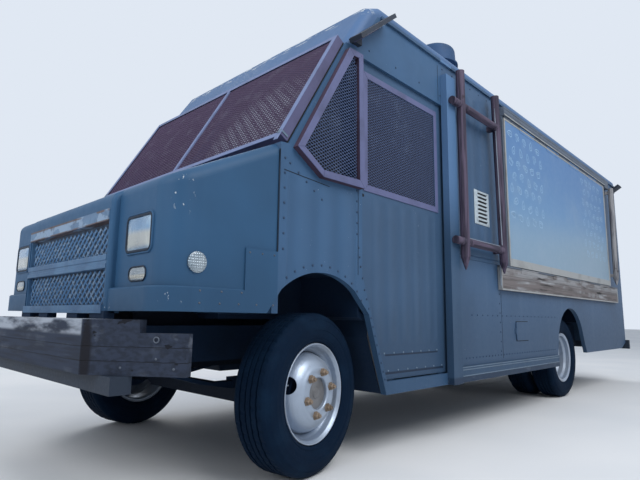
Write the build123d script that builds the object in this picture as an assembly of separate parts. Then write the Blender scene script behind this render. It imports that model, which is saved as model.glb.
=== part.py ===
from build123d import *
import math
import os

# A walk-in food truck. Millimetres. X runs forward, Y to the driver's side (left), Z up. The
# origin is on the ground under the middle of the truck. The cab doors slide back into pockets
# in the load body's walls, the serving hatch lifts, the counter folds up from under it, the
# rear doors and the fuel flap swing, the front wheels steer and every wheel turns.

# Wheels and axles
AXLE_FRONT = 2616.0
AXLE_REAR = -1376.0
TYRE_R = 419.0
TYRE_W = 240.0
FLANGE_R = 260.0
BEAD_R = 236.0
FRONT_TRACK = 1836.0
REAR_OUTER_TRACK = 1738.0
TWIN_GAP = 280.0
KINGPIN_IN = 118.0
STEER_REST = 9.4
STUD_CIRCLE_R = 111.125
STUDS = 6
HAND_HOLES = 5
SEAT = 0.3

# Body
HALF_W = 1081.0
WALL = 40.0
SKIN = 12.0
SILL_Z = 363.0
SKIRT_Z = 455.0
EAVE_Z = 2782.0
ROOF_Z = 2880.0
REAR_X = -3645.0
POST_X = 1303.0
SEAM_X = 2925.0
FLOOR_Z = 800.0
FLOOR_T = 30.0

# Frame rails
RAIL_Z0 = 560.0
RAIL_Z1 = 760.0
RAIL_FRONT = 3440.0

# Nose
NOSE_X = 3515.0
NOSE_Z = 831.0
NOSE_INSET = 8.0
NOSE_TOP = 1405.0
HOOD_BACK_Z = 1700.0
NOSE_WALL = 30.0
PROUD = 36.0
PROUD_HALF = 600.0
GRILLE_HALF = 571.0
GRILLE_TOP = 1317.0

# Windshield plane in a side view, and the wire screen's box frame that stands on it
WS_LOW = (2887.0, 1675.0)
WS_TOP = (2427.0, 2464.0)
SCREEN_DEPTH = 67.0
SCREEN_INSET = 15.0
CAP_R = 100.0

# Sliding cab doors
DOOR_IN = 23.0
DOOR_T = 28.0
DOOR_TOP = 2440.0
DOOR_FRONT = 2262.0
DOOR_FOOT = 2025.0
DOOR_BEND_Z = 1065.0
DOOR_BOTTOM = 448.0
DOOR_LAP = 25.0
DOOR_SLIDE = 740.0
TRACK_Z = 440.0
HEADER_Z = 2427.0
GAP = 8.0

# Rear doors
REAR_DOOR_HALF = 700.0
REAR_DOOR_Z = (830.0, 2600.0)

# Serving hatch and counter
HATCH_FRONT = 254.0
HATCH_REAR = -2951.0
HATCH_TOP = 2651.0
HATCH_BOTTOM = 1278.0
HATCH_T = 31.0
COUNTER_FRONT = 447.0
COUNTER_REAR = -3250.0
COUNTER_BOTTOM = 1066.0
COUNTER_T = 34.0

# Round guard behind the cab door
COVER_OUT = 50.0
POST_R = 34.0
BAR_R = 29.0

# Roof fan
FAN_X = 800.0
FAN_INSET = 345.0
FAN_R = 182.0

# Wooden front bumper
FACE_X = 3704.0
FACE_HALF = 754.0
BUMPER_LOW = 571.0
BUMPER_HIGH = 741.0
BUMPER_REACH = 50.0

# Belt rail over the counter's line
BELT_LOW = 1310.0
BELT_HIGH = 1356.0

# Places that follow from the sizes above
FRONT_Y = FRONT_TRACK / 2
KINGPIN_Y = FRONT_Y - KINGPIN_IN
NOSE_HALF = HALF_W - NOSE_INSET
SCREEN_HALF = HALF_W - SCREEN_INSET
REAR_OUTER_Y = REAR_OUTER_TRACK / 2
REAR_INNER_Y = REAR_OUTER_Y - TWIN_GAP
IN_Y = HALF_W - WALL
DOOR_Y = HALF_W - DOOR_IN
POCKET_Y = (DOOR_Y - DOOR_T - 16, HALF_W - SKIN)
LINER_Y = POCKET_Y[0] - 20
DOOR_BACK = POST_X - DOOR_LAP
POCKET_END = DOOR_BACK - DOOR_SLIDE - 12
GUARD_Y = HALF_W + COVER_OUT + BAR_R
RAIL_Y1 = REAR_INNER_Y - TYRE_W / 2 - 37
RAIL_Y0 = RAIL_Y1 - 70
TUNNEL_HALF = RAIL_Y0 - 12


def box(x0, x1, y0, y1, z0, z1):
    """A block between two corners."""
    return Pos((x0 + x1) / 2, (y0 + y1) / 2, (z0 + z1) / 2) * Box(x1 - x0, y1 - y0, z1 - z0)


def drawn(curve, y0, y1):
    """A closed side view outline drawn out from y0 to y1."""
    return Pos(0, y0, 0) * extrude(Plane.XZ * make_face(curve), amount=y1 - y0, dir=(0, 1, 0))


def slab(points, y0, y1):
    """A side outline of straight edges, points of (x, z), drawn out from y0 to y1."""
    return drawn(Polyline(*points, close=True), y0, y1)


def flat(points, z0, z1):
    """A plan outline, points of (x, y), drawn up from z0 to z1."""
    return Pos(0, 0, z0) * extrude(make_face(Polyline(*points, close=True)), amount=z1 - z0)


def mirrored(shape):
    """The same piece on the other side."""
    return mirror(shape, about=Plane.XZ)


def both(shape):
    """The piece and its twin on the other side."""
    return [shape, mirrored(shape)]


def rod(a, b, r):
    """A round bar of radius r from a to b."""
    v = Vector(*b) - Vector(*a)
    return Plane(origin=a, z_dir=v) * Cylinder(r, v.length, align=(Align.CENTER, Align.CENTER, Align.MIN))


def ring(points):
    """Points of (radius, y) turned about the Y axis."""
    return revolve(Plane.XY * make_face(Polyline(*points, close=True)), Axis.Y)


def apart(shapes):
    """One node of several solids that don't touch."""
    return Compound(children=[solid for shape in shapes for solid in shape.solids()])


def ws(share, out):
    """The point a share of the way up the windshield plane, and out mm in front of it."""
    dx, dz = WS_TOP[0] - WS_LOW[0], WS_TOP[1] - WS_LOW[1]
    n = math.hypot(dx, dz)
    return (WS_LOW[0] + dx * share + dz / n * out, WS_LOW[1] + dz * share - dx / n * out)


def ws_plate(s0, s1, d0, d1, y0, y1):
    """A plate parallel to the windshield between two shares of its height and two depths."""
    return slab([ws(s0, d0), ws(s1, d0), ws(s1, d1), ws(s0, d1)], y0, y1)


def front_arch(y0, y1):
    """What the front wheel arch cuts away."""
    x = AXLE_FRONT
    edge = Polyline((x + 283, 948), (x + 371, NOSE_Z), (x + 371, 300), (x - 597, 300), (x - 408, 837), (x - 276, 968))
    return drawn(edge + ThreePointArc((x - 276, 968), (x + 24, 1050), (x + 283, 948)), y0, y1)


def rear_arch(y0, y1):
    """What the rear wheel arch cuts away."""
    x = AXLE_REAR
    edge = Polyline((x + 426, 640), (x + 520, 300), (x - 560, 300), (x - 384, 660))
    return drawn(edge + ThreePointArc((x - 384, 660), (x + 4, 952), (x + 426, 640)), y0, y1)


def door_outline(back, bottom, top, grow):
    """The cab door's outline, grown at the front by a gap."""
    return [(back, bottom), (DOOR_FOOT + grow, bottom), (DOOR_FRONT + grow, DOOR_BEND_Z), (DOOR_FRONT + grow, top), (back, top)]


def turned(shape, side):
    """A front wheel piece built on the axle line, turned about its kingpin to the rest angle."""
    kingpin = Pos(AXLE_FRONT, side * KINGPIN_Y, 0)
    return kingpin * Rot(0, 0, STEER_REST) * kingpin.inverse() * shape


# Wheel sections as (radius, y outward from the tyre's middle)
TW = TYRE_W / 2
TYRE_SECTION = [
    (BEAD_R + 7.3, -TW + 39.5), (FLANGE_R + 3, -TW + 35.5), (FLANGE_R + 6, -TW + 18),
    (310, -TW + 2), (345, -TW), (385, -TW + 8), (408, -TW + 22), (TYRE_R, -TW + 44),
    (TYRE_R, TW - 44), (408, TW - 22), (385, TW - 8), (345, TW), (310, TW - 2),
    (FLANGE_R + 6, TW - 18), (FLANGE_R + 3, TW - 35.5), (BEAD_R + 7.3, TW - 39.5),
]
RIM_SECTION = [
    (FLANGE_R, TW - 22), (FLANGE_R, TW - 34), (BEAD_R + 7, TW - 38), (BEAD_R + 4, TW - 66),
    (BEAD_R - 14, TW - 82), (BEAD_R - 14, -TW + 86), (BEAD_R + 4, -TW + 66), (BEAD_R + 7, -TW + 38),
    (FLANGE_R, -TW + 34), (FLANGE_R, -TW + 22), (BEAD_R - 4, -TW + 30), (BEAD_R - 6, -TW + 64),
    (BEAD_R - 24, -TW + 84), (BEAD_R - 24, TW - 84), (BEAD_R - 6, TW - 64), (BEAD_R - 4, TW - 30),
]
DISC = TWIN_GAP / 2
DISC_SECTION = [
    (218, 12), (205, 40), (178, DISC - 32), (158, DISC), (84, DISC), (84, DISC - 12), (152, DISC - 12),
    (170, DISC - 40), (194, 36), (218, -4),
]
HUB_SECTION = [
    (0, DISC + 38), (46, DISC + 38), (56, DISC + 26), (60, DISC - 11.5), (142, DISC - 11.5), (142, DISC - 32),
    (94, DISC - 38), (88, -20), (0, -20),
]
REAR_HUB_SECTION = [
    (0, 20), (0, DISC + 128), (56, DISC + 128), (72, DISC + 110), (78, DISC - 11.5), (142, DISC - 11.5),
    (142, DISC - 32), (96, DISC - 38), (96, 20),
]


def faced(shape, y, face):
    """A wheel piece set at y with its outer side towards face, +1 left and -1 right."""
    return Pos(0, y, TYRE_R) * (shape if face > 0 else mirrored(shape))


def rim():
    """A steel wheel whose disc bulges outward, with hand holes and stud holes."""
    part = ring(RIM_SECTION) + ring(DISC_SECTION)
    for i in range(HAND_HOLES):
        part -= Rot(0, 90 + i * 360 / HAND_HOLES, 0) * Pos(182, 60, 0) * Rot(90, 0, 0) * Cylinder(16, 150)
    for i in range(STUDS):
        part -= Rot(0, i * 360 / STUDS, 0) * Pos(STUD_CIRCLE_R, DISC - 6, 0) * Rot(90, 0, 0) * Cylinder(13, 40)
    return part


def hub():
    """A front hub with its studs and cap, seated on the disc's inner side."""
    part = ring(HUB_SECTION)
    for i in range(STUDS):
        part += Rot(0, i * 360 / STUDS, 0) * Pos(STUD_CIRCLE_R, DISC + 2, 0) * Rot(90, 0, 0) * Cylinder(11, 48)
    return part


parts = {}

# Front wheels and the knuckles that carry them
for name, side in (("left", 1), ("right", -1)):
    at = Pos(AXLE_FRONT, 0, 0)
    parts["tyre_front_" + name] = turned(at * faced(ring(TYRE_SECTION), side * FRONT_Y, side), side)
    parts["rim_front_" + name] = turned(at * faced(rim() + hub(), side * FRONT_Y, side), side)
    stub_end = KINGPIN_IN - 20 - SEAT
    knuckle = ring([(0, 50), (60, 50), (60, 66), (34, 66), (34, stub_end), (0, stub_end)])
    knuckle += box(-60, 60, 48, 64, -92, 92)
    knuckle += box(-36, 36, -36, 50, 51 + SEAT, 92) + box(-36, 36, -36, 50, -92, -51 - SEAT)
    knuckle += Cylinder(14, 150) + box(-190, -30, -20, 10, -92, -68)
    if side < 0:
        knuckle = mirrored(knuckle)
    parts["knuckle_" + name] = turned(Pos(AXLE_FRONT, side * KINGPIN_Y, TYRE_R) * knuckle, side)

# Rear twin wheels, each pair on one hub
for name, side in (("left", 1), ("right", -1)):
    at = Pos(AXLE_REAR, 0, 0)
    pair = [at * faced(ring(TYRE_SECTION), side * y, side) for y in (REAR_OUTER_Y, REAR_INNER_Y)]
    parts["tyres_rear_" + name] = apart(pair)
    wheels = faced(rim(), side * REAR_OUTER_Y, -side) + faced(rim() + ring(REAR_HUB_SECTION), side * REAR_INNER_Y, side)
    parts["rims_rear_" + name] = at * wheels

# Ladder frame
CROSSMEMBERS = (-3500, -2500, -1750, -300, 800, 1800, 3385)
rail = box(-3560, RAIL_FRONT, RAIL_Y0, RAIL_Y1, RAIL_Z0, RAIL_Z1)
frame = rail + mirrored(rail)
for x in CROSSMEMBERS:
    frame += box(x - 35, x + 35, -RAIL_Y0 - 1, RAIL_Y0 + 1, 600, 720)
parts["frame_rails"] = frame

# Axles: a forged beam with kingpin eyes in front, a tube with its drive housing and shaft behind
BEAM_LOW = TYRE_R - 109
BEAM_HIGH = TYRE_R - 24
PAD_HIGH = TYRE_R + 62
beam = box(AXLE_FRONT - 35, AXLE_FRONT + 35, -620, 620, BEAM_LOW, BEAM_HIGH)
for side in (1, -1):
    rise = [(600 * side, BEAM_LOW), (600 * side, BEAM_HIGH), (700 * side, TYRE_R + 51), (KINGPIN_Y * side, TYRE_R + 51),
            (KINGPIN_Y * side, TYRE_R - 51), (720 * side, TYRE_R - 51)]
    rise_face = Plane.YZ * make_face(Polyline(*rise, close=True))
    beam += Pos(AXLE_FRONT - 35, 0, 0) * extrude(rise_face, amount=70, dir=(1, 0, 0))
    beam += Pos(AXLE_FRONT, side * KINGPIN_Y, TYRE_R) * Cylinder(40, 102)
    beam -= Pos(AXLE_FRONT, side * KINGPIN_Y, TYRE_R) * Cylinder(14 + SEAT, 140)
TUBE_END = REAR_INNER_Y + 20 - SEAT
rear = rod((AXLE_REAR, -TUBE_END, TYRE_R), (AXLE_REAR, TUBE_END, TYRE_R), 60)
rear += Pos(AXLE_REAR, 0, TYRE_R) * Sphere(185)
rear += rod((AXLE_REAR + 150, 0, TYRE_R + 20), (AXLE_REAR + 330, 0, TYRE_R + 40), 60)
rear += rod((AXLE_REAR + 320, 0, TYRE_R + 38), (1300, 0, 560), 42)
for pad in both(box(AXLE_REAR - 60, AXLE_REAR + 60, RAIL_Y0 + 4, RAIL_Y1 - 2, TYRE_R, PAD_HIGH)):
    rear += pad
parts["axles"] = apart([beam, rear])

# Leaf springs under the rails, seated on the axles
springs = []
for x, z in ((AXLE_FRONT, BEAM_HIGH + SEAT), (AXLE_REAR, PAD_HIGH + SEAT)):
    rise = RAIL_Z0 - z - 34.7
    leaf = slab([(x - 620, z + rise), (x - 300, z + rise * 0.3), (x - 90, z), (x + 90, z), (x + 300, z + rise * 0.3),
                 (x + 620, z + rise), (x + 610, z + rise + 14), (x + 220, z + 40), (x - 220, z + 40), (x - 610, z + rise + 14)],
                RAIL_Y0 + 4, RAIL_Y1 - 2)
    leaf += box(x - 70, x + 70, RAIL_Y0 + 2, RAIL_Y1, z, z + 60)
    for end in (-610, 610):
        leaf += box(x + end - 22, x + end + 22, RAIL_Y0 + 10, RAIL_Y1 - 8, z + rise + 1, RAIL_Z0)
    springs += both(leaf)
parts["leaf_springs"] = apart(springs)

# The engine as one plain block on two mounts between the rails
ENGINE = (2320.0, 3280.0, 520.0, 1250.0)
engine = box(ENGINE[0], ENGINE[1], -RAIL_Y0 + 42, RAIL_Y0 - 42, ENGINE[2], ENGINE[3])
for mount in both(box(2700, 2800, RAIL_Y0 - 43, RAIL_Y0, 620, 700)):
    engine += mount
parts["engine"] = engine

# Floor with the two step wells
FLOOR_TOP = FLOOR_Z + FLOOR_T
STEP_IN = 640.0
STEP_FRONT = 2020.0
HOUSE_IN = 520.0
HOUSE_BACK = 2150.0
REAR_HOUSE = 500.0
REAR_HOUSE_IN = RAIL_Y1 - 30
WELL_OUT = DOOR_Y - DOOR_T - 12
floor = box(REAR_X + WALL, SEAM_X - WALL, -IN_Y, IN_Y, FLOOR_Z, FLOOR_TOP)
floor -= box(2230, SEAM_X, -TUNNEL_HALF, TUNNEL_HALF, FLOOR_Z - 50, FLOOR_TOP + 50)
step = box(POST_X, STEP_FRONT, STEP_IN, IN_Y, SILL_Z, SILL_Z + 11)
step += box(POST_X, STEP_FRONT, STEP_IN, STEP_IN + 20, SILL_Z, FLOOR_TOP)
step += box(POST_X, POST_X + 20, STEP_IN, WELL_OUT, SILL_Z, FLOOR_TOP)
step += slab([(STEP_FRONT - 20, SILL_Z), (STEP_FRONT, SILL_Z), (HOUSE_BACK, 700), (HOUSE_BACK, FLOOR_TOP),
              (HOUSE_BACK - 20, FLOOR_TOP), (HOUSE_BACK - 20, 700)], STEP_IN, WELL_OUT)
step += slab([(STEP_FRONT - 5, SILL_Z + 5), (STEP_FRONT - 5, FLOOR_TOP), (HOUSE_BACK - 5, FLOOR_TOP),
              (HOUSE_BACK - 5, 700)], STEP_IN, STEP_IN + 20)
for shape, hole in zip(both(step), both(box(POST_X, HOUSE_BACK, STEP_IN, HALF_W, FLOOR_Z - 20, FLOOR_TOP + 20))):
    floor = floor - hole + shape
for hole in both(box(HOUSE_BACK, SEAM_X, HOUSE_IN, HALF_W, FLOOR_Z - 20, FLOOR_TOP + 20)):
    floor -= hole
for hole in both(box(POCKET_END - 30, POST_X, LINER_Y, HALF_W, FLOOR_Z - 20, FLOOR_TOP + 20)):
    floor -= hole
for hole in both(box(AXLE_REAR - REAR_HOUSE, AXLE_REAR + REAR_HOUSE, REAR_HOUSE_IN, HALF_W, FLOOR_Z - 20, FLOOR_TOP + 20)):
    floor -= hole
parts["floor"] = floor

# Wheel houses and the cover over the engine between the seats
houses = []
outer = slab([(HOUSE_BACK, FLOOR_Z), (HOUSE_BACK, FLOOR_TOP), (2220, FLOOR_TOP + 20), (2220, 1080), (2400, 1110),
              (SEAM_X - WALL, 1110), (SEAM_X - WALL, FLOOR_Z)], HOUSE_IN, IN_Y)
inner = slab([(HOUSE_BACK + 5, FLOOR_Z - 10), (2240, FLOOR_Z + 20), (2240, 1066), (2420, 1090),
              (SEAM_X, 1090), (SEAM_X, FLOOR_Z - 10)], HOUSE_IN + 20, HALF_W)
houses += both(outer - inner - box(HOUSE_BACK - 10, DOOR_FRONT + 28, WELL_OUT, HALF_W, FLOOR_Z - 10, 1200))
outer = box(AXLE_REAR - REAR_HOUSE, AXLE_REAR + REAR_HOUSE, REAR_HOUSE_IN, IN_Y, FLOOR_Z, 985)
inner = box(AXLE_REAR - REAR_HOUSE + 20, AXLE_REAR + REAR_HOUSE - 20, REAR_HOUSE_IN + 20, HALF_W, FLOOR_Z - 10, 965)
houses += both(outer - inner)
tunnel = box(2230, SEAM_X - WALL, -TUNNEL_HALF, TUNNEL_HALF, FLOOR_Z, 1300)
houses.append(tunnel - box(2250, SEAM_X, -TUNNEL_HALF + 20, TUNNEL_HALF - 20, FLOOR_Z - 10, 1280))
parts["wheel_houses"] = apart(houses)


# Nose shell: rounded corners, a proud grille section and a proud band along the bottom
def nose_block(front, half, top, low, back_top, corner):
    """A hood block with round front corners and a round front edge along its top."""
    block = slab([(SEAM_X, low), (front, low), (front, top), (SEAM_X, back_top)], -half, half)
    uprights = block.edges().filter_by(Axis.Z).filter_by(lambda e: e.center().X > front - 1)
    block = fillet(uprights, corner)
    crown = block.edges().filter_by(lambda e: e.center().Z > top - 30 and e.center().X > SEAM_X + 20)
    return fillet(crown, 60)


HOOD_SLOPE = (HOOD_BACK_Z - NOSE_TOP) / (NOSE_X - SEAM_X)
PROUD_X = NOSE_X + PROUD
BAND_TOP = 937.0
nose = nose_block(NOSE_X, NOSE_HALF, NOSE_TOP, NOSE_Z, HOOD_BACK_Z, 125)
centre_top = NOSE_TOP - HOOD_SLOPE * PROUD
centre = slab([(3250, NOSE_Z - 9), (PROUD_X, NOSE_Z - 9), (PROUD_X, centre_top),
               (3250, NOSE_TOP + HOOD_SLOPE * (NOSE_X - 3250))], -PROUD_HALF, PROUD_HALF)
centre = fillet(centre.edges().filter_by(Axis.Y).filter_by(lambda e: e.center().Z > 1300 and e.center().X > 3300), 60)
centre = fillet(centre.edges().filter_by(Axis.Z).filter_by(lambda e: e.center().X > 3500), 22)
band = box(SEAM_X, NOSE_X + 26, -HALF_W, HALF_W, NOSE_Z, BAND_TOP)
band = fillet(band.edges().filter_by(Axis.Z).sort_by(Axis.X)[-2:], 140)
band = chamfer(band.faces().sort_by(Axis.Z)[-1].edges().filter_by(lambda e: e.center().X > SEAM_X + 5), 7)
band += box(SEAM_X, 3123, -HALF_W, HALF_W, BAND_TOP - 10, 1131)
nose = nose + centre + band
nose -= nose_block(NOSE_X - NOSE_WALL, NOSE_HALF - NOSE_WALL, NOSE_TOP - 35, NOSE_Z - 60, HOOD_BACK_Z - 35, 100)
nose -= box(SEAM_X - 10, 3300, -NOSE_HALF + NOSE_WALL, NOSE_HALF - NOSE_WALL, NOSE_Z - 60, 1300)
nose -= box(3200, PROUD_X + 50, -GRILLE_HALF, GRILLE_HALF, NOSE_Z - 60, GRILLE_TOP)
for cut in both(front_arch(300, HALF_W + 50)):
    nose -= cut
parts["nose"] = nose

# Grille: trim strips in front of a mesh plate
grille = box(PROUD_X - 45, PROUD_X - 37, -GRILLE_HALF, GRILLE_HALF, 840, GRILLE_TOP)
for z0, z1, back, front in ((1259, GRILLE_TOP, -45, 6), (1031, 1097, -45, -3), (820, 860, -45, 9)):
    grille += box(PROUD_X + back, PROUD_X + front, -GRILLE_HALF, GRILLE_HALF, z0, z1)
for post in both(box(PROUD_X - 45, PROUD_X - 6, GRILLE_HALF - 9, GRILLE_HALF, 840, GRILLE_TOP)):
    grille += post
parts["grille"] = grille

# Headlamps, oblong lamps under them and the round side markers
headlamp = box(NOSE_X, NOSE_X + 10, NOSE_HALF - 365, NOSE_HALF - 147, 1100, 1247)
headlamp = fillet(headlamp.edges().filter_by(Axis.X), 18)
oblong = box(NOSE_X, NOSE_X + 7, NOSE_HALF - 281, NOSE_HALF - 171, 961, 1017)
oblong = fillet(oblong.edges().filter_by(Axis.X), 27)
marker = rod((3377, NOSE_HALF, 1040), (3377, NOSE_HALF + 12, 1040), 42)
parts["lamps"] = apart([lamp for piece in (headlamp, oblong, marker) for lamp in both(piece)])

# Cab sides
PANE_LOW, PANE_TOP = 0.12, 0.93
CAB_OUTLINE = [(POST_X, SILL_Z), (SEAM_X, SILL_Z), (SEAM_X, HOOD_BACK_Z), ws(0.035, 0), WS_TOP,
               (WS_TOP[0] - CAP_R - 10, WS_TOP[1]), (2221 - CAP_R - 10, EAVE_Z), (POST_X, EAVE_Z)]
QUARTER = [(2800, 1716), (2607, 1592), (2300, 1592), (2300, 2440), (2376, 2440)]
cab_side = slab(CAB_OUTLINE, IN_Y, HALF_W) - front_arch(IN_Y - 10, HALF_W + 10)
cab_side -= slab(door_outline(POST_X - 5, TRACK_Z, HEADER_Z, GAP), IN_Y - 10, HALF_W + 10)
cab_side -= slab(door_outline(POST_X - 5, DOOR_BOTTOM, DOOR_TOP + 12, GAP), IN_Y - 10, DOOR_Y + 4)
cab_side -= slab(QUARTER, IN_Y - 10, HALF_W + 10)
parts["cab_left"] = cab_side
parts["cab_right"] = mirrored(cab_side)

# Cab front: firewall, cowl and the windshield surround between the sides
front = slab([(SEAM_X, NOSE_Z), (SEAM_X, HOOD_BACK_Z), ws(0.035, 0), WS_TOP, ws(1, -WALL), ws(0.035, -WALL),
              (SEAM_X - WALL, 1640), (SEAM_X - WALL, NOSE_Z)], -IN_Y, IN_Y)
for pane in both(ws_plate(PANE_LOW, PANE_TOP, -100, 60, 20, IN_Y - 41)):
    front -= pane
front -= box(SEAM_X - 50, SEAM_X + 10, -TUNNEL_HALF, TUNNEL_HALF, NOSE_Z - 10, 1300)
parts["cab_front"] = front

# Fixed glass inside the windshield surround and the quarter windows
windshield = ws_plate(PANE_LOW - 0.01, PANE_TOP + 0.01, -WALL - 6, -WALL, 12, IN_Y - 33)
quarter = [(2808, 1706), (2612, 1572), (2284, 1572), (2284, 2456), (2374, 2456)]
parts["fixed_glass"] = apart(both(windshield) + both(slab(quarter, IN_Y - 6, IN_Y)))

# Wire screens: a box frame that stands on the windshield plane, and flat guards on the quarters
SCREEN_FOOT = 1712.0
screen = slab([ws(0.043, 0), ws(0.043 - 0.06, SCREEN_DEPTH), ws(0.995, SCREEN_DEPTH), ws(0.995, 0)], -SCREEN_HALF, SCREEN_HALF)
screen -= box(2400, 3100, -HALF_W, HALF_W, 1500, SCREEN_FOOT)
for y0, y1 in ((16, SCREEN_HALF - 32), (-SCREEN_HALF + 32, -16)):
    screen -= ws_plate(0.1, 0.955, -20, SCREEN_DEPTH + 20, y0, y1)
screen += ws_plate(0.09, 0.96, SCREEN_DEPTH - 18, SCREEN_DEPTH - 12, -SCREEN_HALF + 20, SCREEN_HALF - 20)
Q_OUT = [(2812, 1713), (2609, 1582), (2237, 1584), (2253, 2465), (2361, 2453)]
Q_HOLE = [(2748, 1702), (2596, 1614), (2276, 1614), (2290, 2428), (2344, 2420)]
guard = slab(Q_OUT, HALF_W, HALF_W + 13) - slab(Q_HOLE, HALF_W - 10, HALF_W + 30)
guard += slab([(2758, 1706), (2600, 1606), (2268, 1606), (2282, 2436), (2350, 2428)], HALF_W + 3, HALF_W + 8)
parts["screens"] = apart([screen] + both(guard))

# Sliding doors with a guard frame over the window and shoes on the track strip
WINDOW = (1403, 2194, 1625, 2318)
door = slab(door_outline(DOOR_BACK, DOOR_BOTTOM, DOOR_TOP, 0), DOOR_Y - DOOR_T, DOOR_Y)
door -= box(WINDOW[0], WINDOW[1], IN_Y - 50, HALF_W, WINDOW[2], WINDOW[3])
door += (box(WINDOW[0] - 38, WINDOW[1] + 40, DOOR_Y - 1, DOOR_Y + 4, WINDOW[2] - 42, WINDOW[3] + 42)
         - box(WINDOW[0] + 2, WINDOW[1], DOOR_Y - 10, DOOR_Y + 10, WINDOW[2] - 2, WINDOW[3] + 2))
door += box(WINDOW[0] - 8, WINDOW[1] + 10, DOOR_Y - 8, DOOR_Y - 4, WINDOW[2] - 12, WINDOW[3] + 12)
for x in (DOOR_BACK + 60, 1930):
    door += box(x, x + 60, DOOR_Y - 22, DOOR_Y - 6, TRACK_Z + SEAT, DOOR_BOTTOM + 1)
glass_y = DOOR_Y - DOOR_T
door_glass = box(WINDOW[0] - 14, WINDOW[1] + 14, glass_y - 6, glass_y, WINDOW[2] - 14, WINDOW[3] + 14)
for name, side in (("left", 1), ("right", -1)):
    parts["cab_door_" + name] = door if side > 0 else mirrored(door)
    parts["cab_door_" + name + "_glass"] = door_glass if side > 0 else mirrored(door_glass)

# Load body sides, each with a pocket that takes the sliding door
WALL_OUTLINE = [(POST_X, SILL_Z), (AXLE_REAR, SILL_Z), (AXLE_REAR, SKIRT_Z), (REAR_X + 222, SKIRT_Z), (REAR_X, 530),
                (REAR_X, EAVE_Z), (POST_X, EAVE_Z)]
side_wall = slab(WALL_OUTLINE, IN_Y, HALF_W) - rear_arch(IN_Y - 10, HALF_W + 10)
side_wall += box(POCKET_END - 30, POST_X, LINER_Y, IN_Y + 1, SILL_Z, EAVE_Z)
side_wall -= box(POCKET_END, POST_X + 5, POCKET_Y[0], POCKET_Y[1], TRACK_Z, DOOR_TOP + 12)
parts["cargo_right"] = mirrored(side_wall)
FLAP = (-138.0, 112.0, 637.0, 800.0)
cargo_left = side_wall - box(HATCH_REAR + 8, HATCH_FRONT - 8, IN_Y - 10, HALF_W + 10, HATCH_BOTTOM + 8, HATCH_TOP - 8)
cargo_left -= rod((-25, IN_Y - 10, 715), (-25, HALF_W + 10, 715), 60)
FLAP_HINGE = (FLAP[1] + 6, HALF_W + 6)
cargo_left += rod((*FLAP_HINGE, 695), (*FLAP_HINGE, 745), 5)
cargo_left += box(FLAP_HINGE[0], FLAP_HINGE[0] + 24, HALF_W, HALF_W + 6, 695, 745)
parts["cargo_left"] = cargo_left

flap = box(FLAP[0], FLAP[1] - 2, HALF_W + SEAT, HALF_W + 6, FLAP[2], FLAP[3])
for z in (650, 745 + SEAT):
    flap += rod((*FLAP_HINGE, z), (*FLAP_HINGE, z + 45 - SEAT), 5)
    flap += box(FLAP[1] - 20, FLAP_HINGE[0], HALF_W + 2, HALF_W + 7, z, z + 45 - SEAT)
parts["fuel_flap"] = flap

# Roof with the rounded cap over the windshield
CAP_EAVE_X = 2221.0
roof = slab([(REAR_X, EAVE_Z), (CAP_EAVE_X - CAP_R - 10, EAVE_Z), (WS_TOP[0] - CAP_R - 10, WS_TOP[1]), WS_TOP,
             (2196, 2821), (2075, ROOF_Z), (REAR_X, ROOF_Z)], -HALF_W, HALF_W)
slopes = roof.edges().filter_by(lambda e: abs(abs(e.center().Y) - HALF_W) < 1 and e.center().X > 2130
                                and e.center().Z > 2500 and e.length > 100)
slopes = slopes.filter_by(lambda e: e.center().X > CAP_EAVE_X or e.center().Z > EAVE_Z)
roof = fillet(slopes + roof.edges().filter_by(Axis.X).sort_by(Axis.Z)[-2:], 60)
roof -= slab([(REAR_X + WALL, EAVE_Z - 20), (2060, EAVE_Z - 20), (2260, 2400), (WS_TOP[0] - 48, 2400),
              (WS_TOP[0] - 48, WS_TOP[1]), (2170, 2786), (2060, ROOF_Z - WALL), (REAR_X + WALL, ROOF_Z - WALL)], -IN_Y, IN_Y)
parts["roof"] = roof

# Rear wall with its pair of doors on knuckle hinges
rear_wall = box(REAR_X, REAR_X + WALL, -IN_Y, IN_Y, 530, EAVE_Z)
rear_wall -= box(REAR_X - 10, REAR_X + WALL + 10, -REAR_DOOR_HALF, REAR_DOOR_HALF, *REAR_DOOR_Z)
leaf_door = box(REAR_X - 2, REAR_X + 34, 4, REAR_DOOR_HALF - 6, REAR_DOOR_Z[0] + 6, REAR_DOOR_Z[1] - 6)
HINGE_X, HINGE_Y = REAR_X - 12, REAR_DOOR_HALF - 3
for z in (1000, 1700, 2400):
    for z0, z1 in ((z, z + 30), (z + 90, z + 120)):
        for knuckle in both(rod((HINGE_X, HINGE_Y, z0), (HINGE_X, HINGE_Y, z1), 9)
                            + box(HINGE_X, REAR_X + 1, HINGE_Y, HINGE_Y + 50, z0, z1)):
            rear_wall += knuckle
    leaf_door += rod((HINGE_X, HINGE_Y, z + 30 + SEAT), (HINGE_X, HINGE_Y, z + 90 - SEAT), 9)
    leaf_door += box(HINGE_X, REAR_X, HINGE_Y - 60, HINGE_Y, z + 30 + SEAT, z + 90 - SEAT)
parts["rear_frame"] = rear_wall
parts["rear_door_left"] = leaf_door
parts["rear_door_right"] = mirrored(leaf_door)

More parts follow.
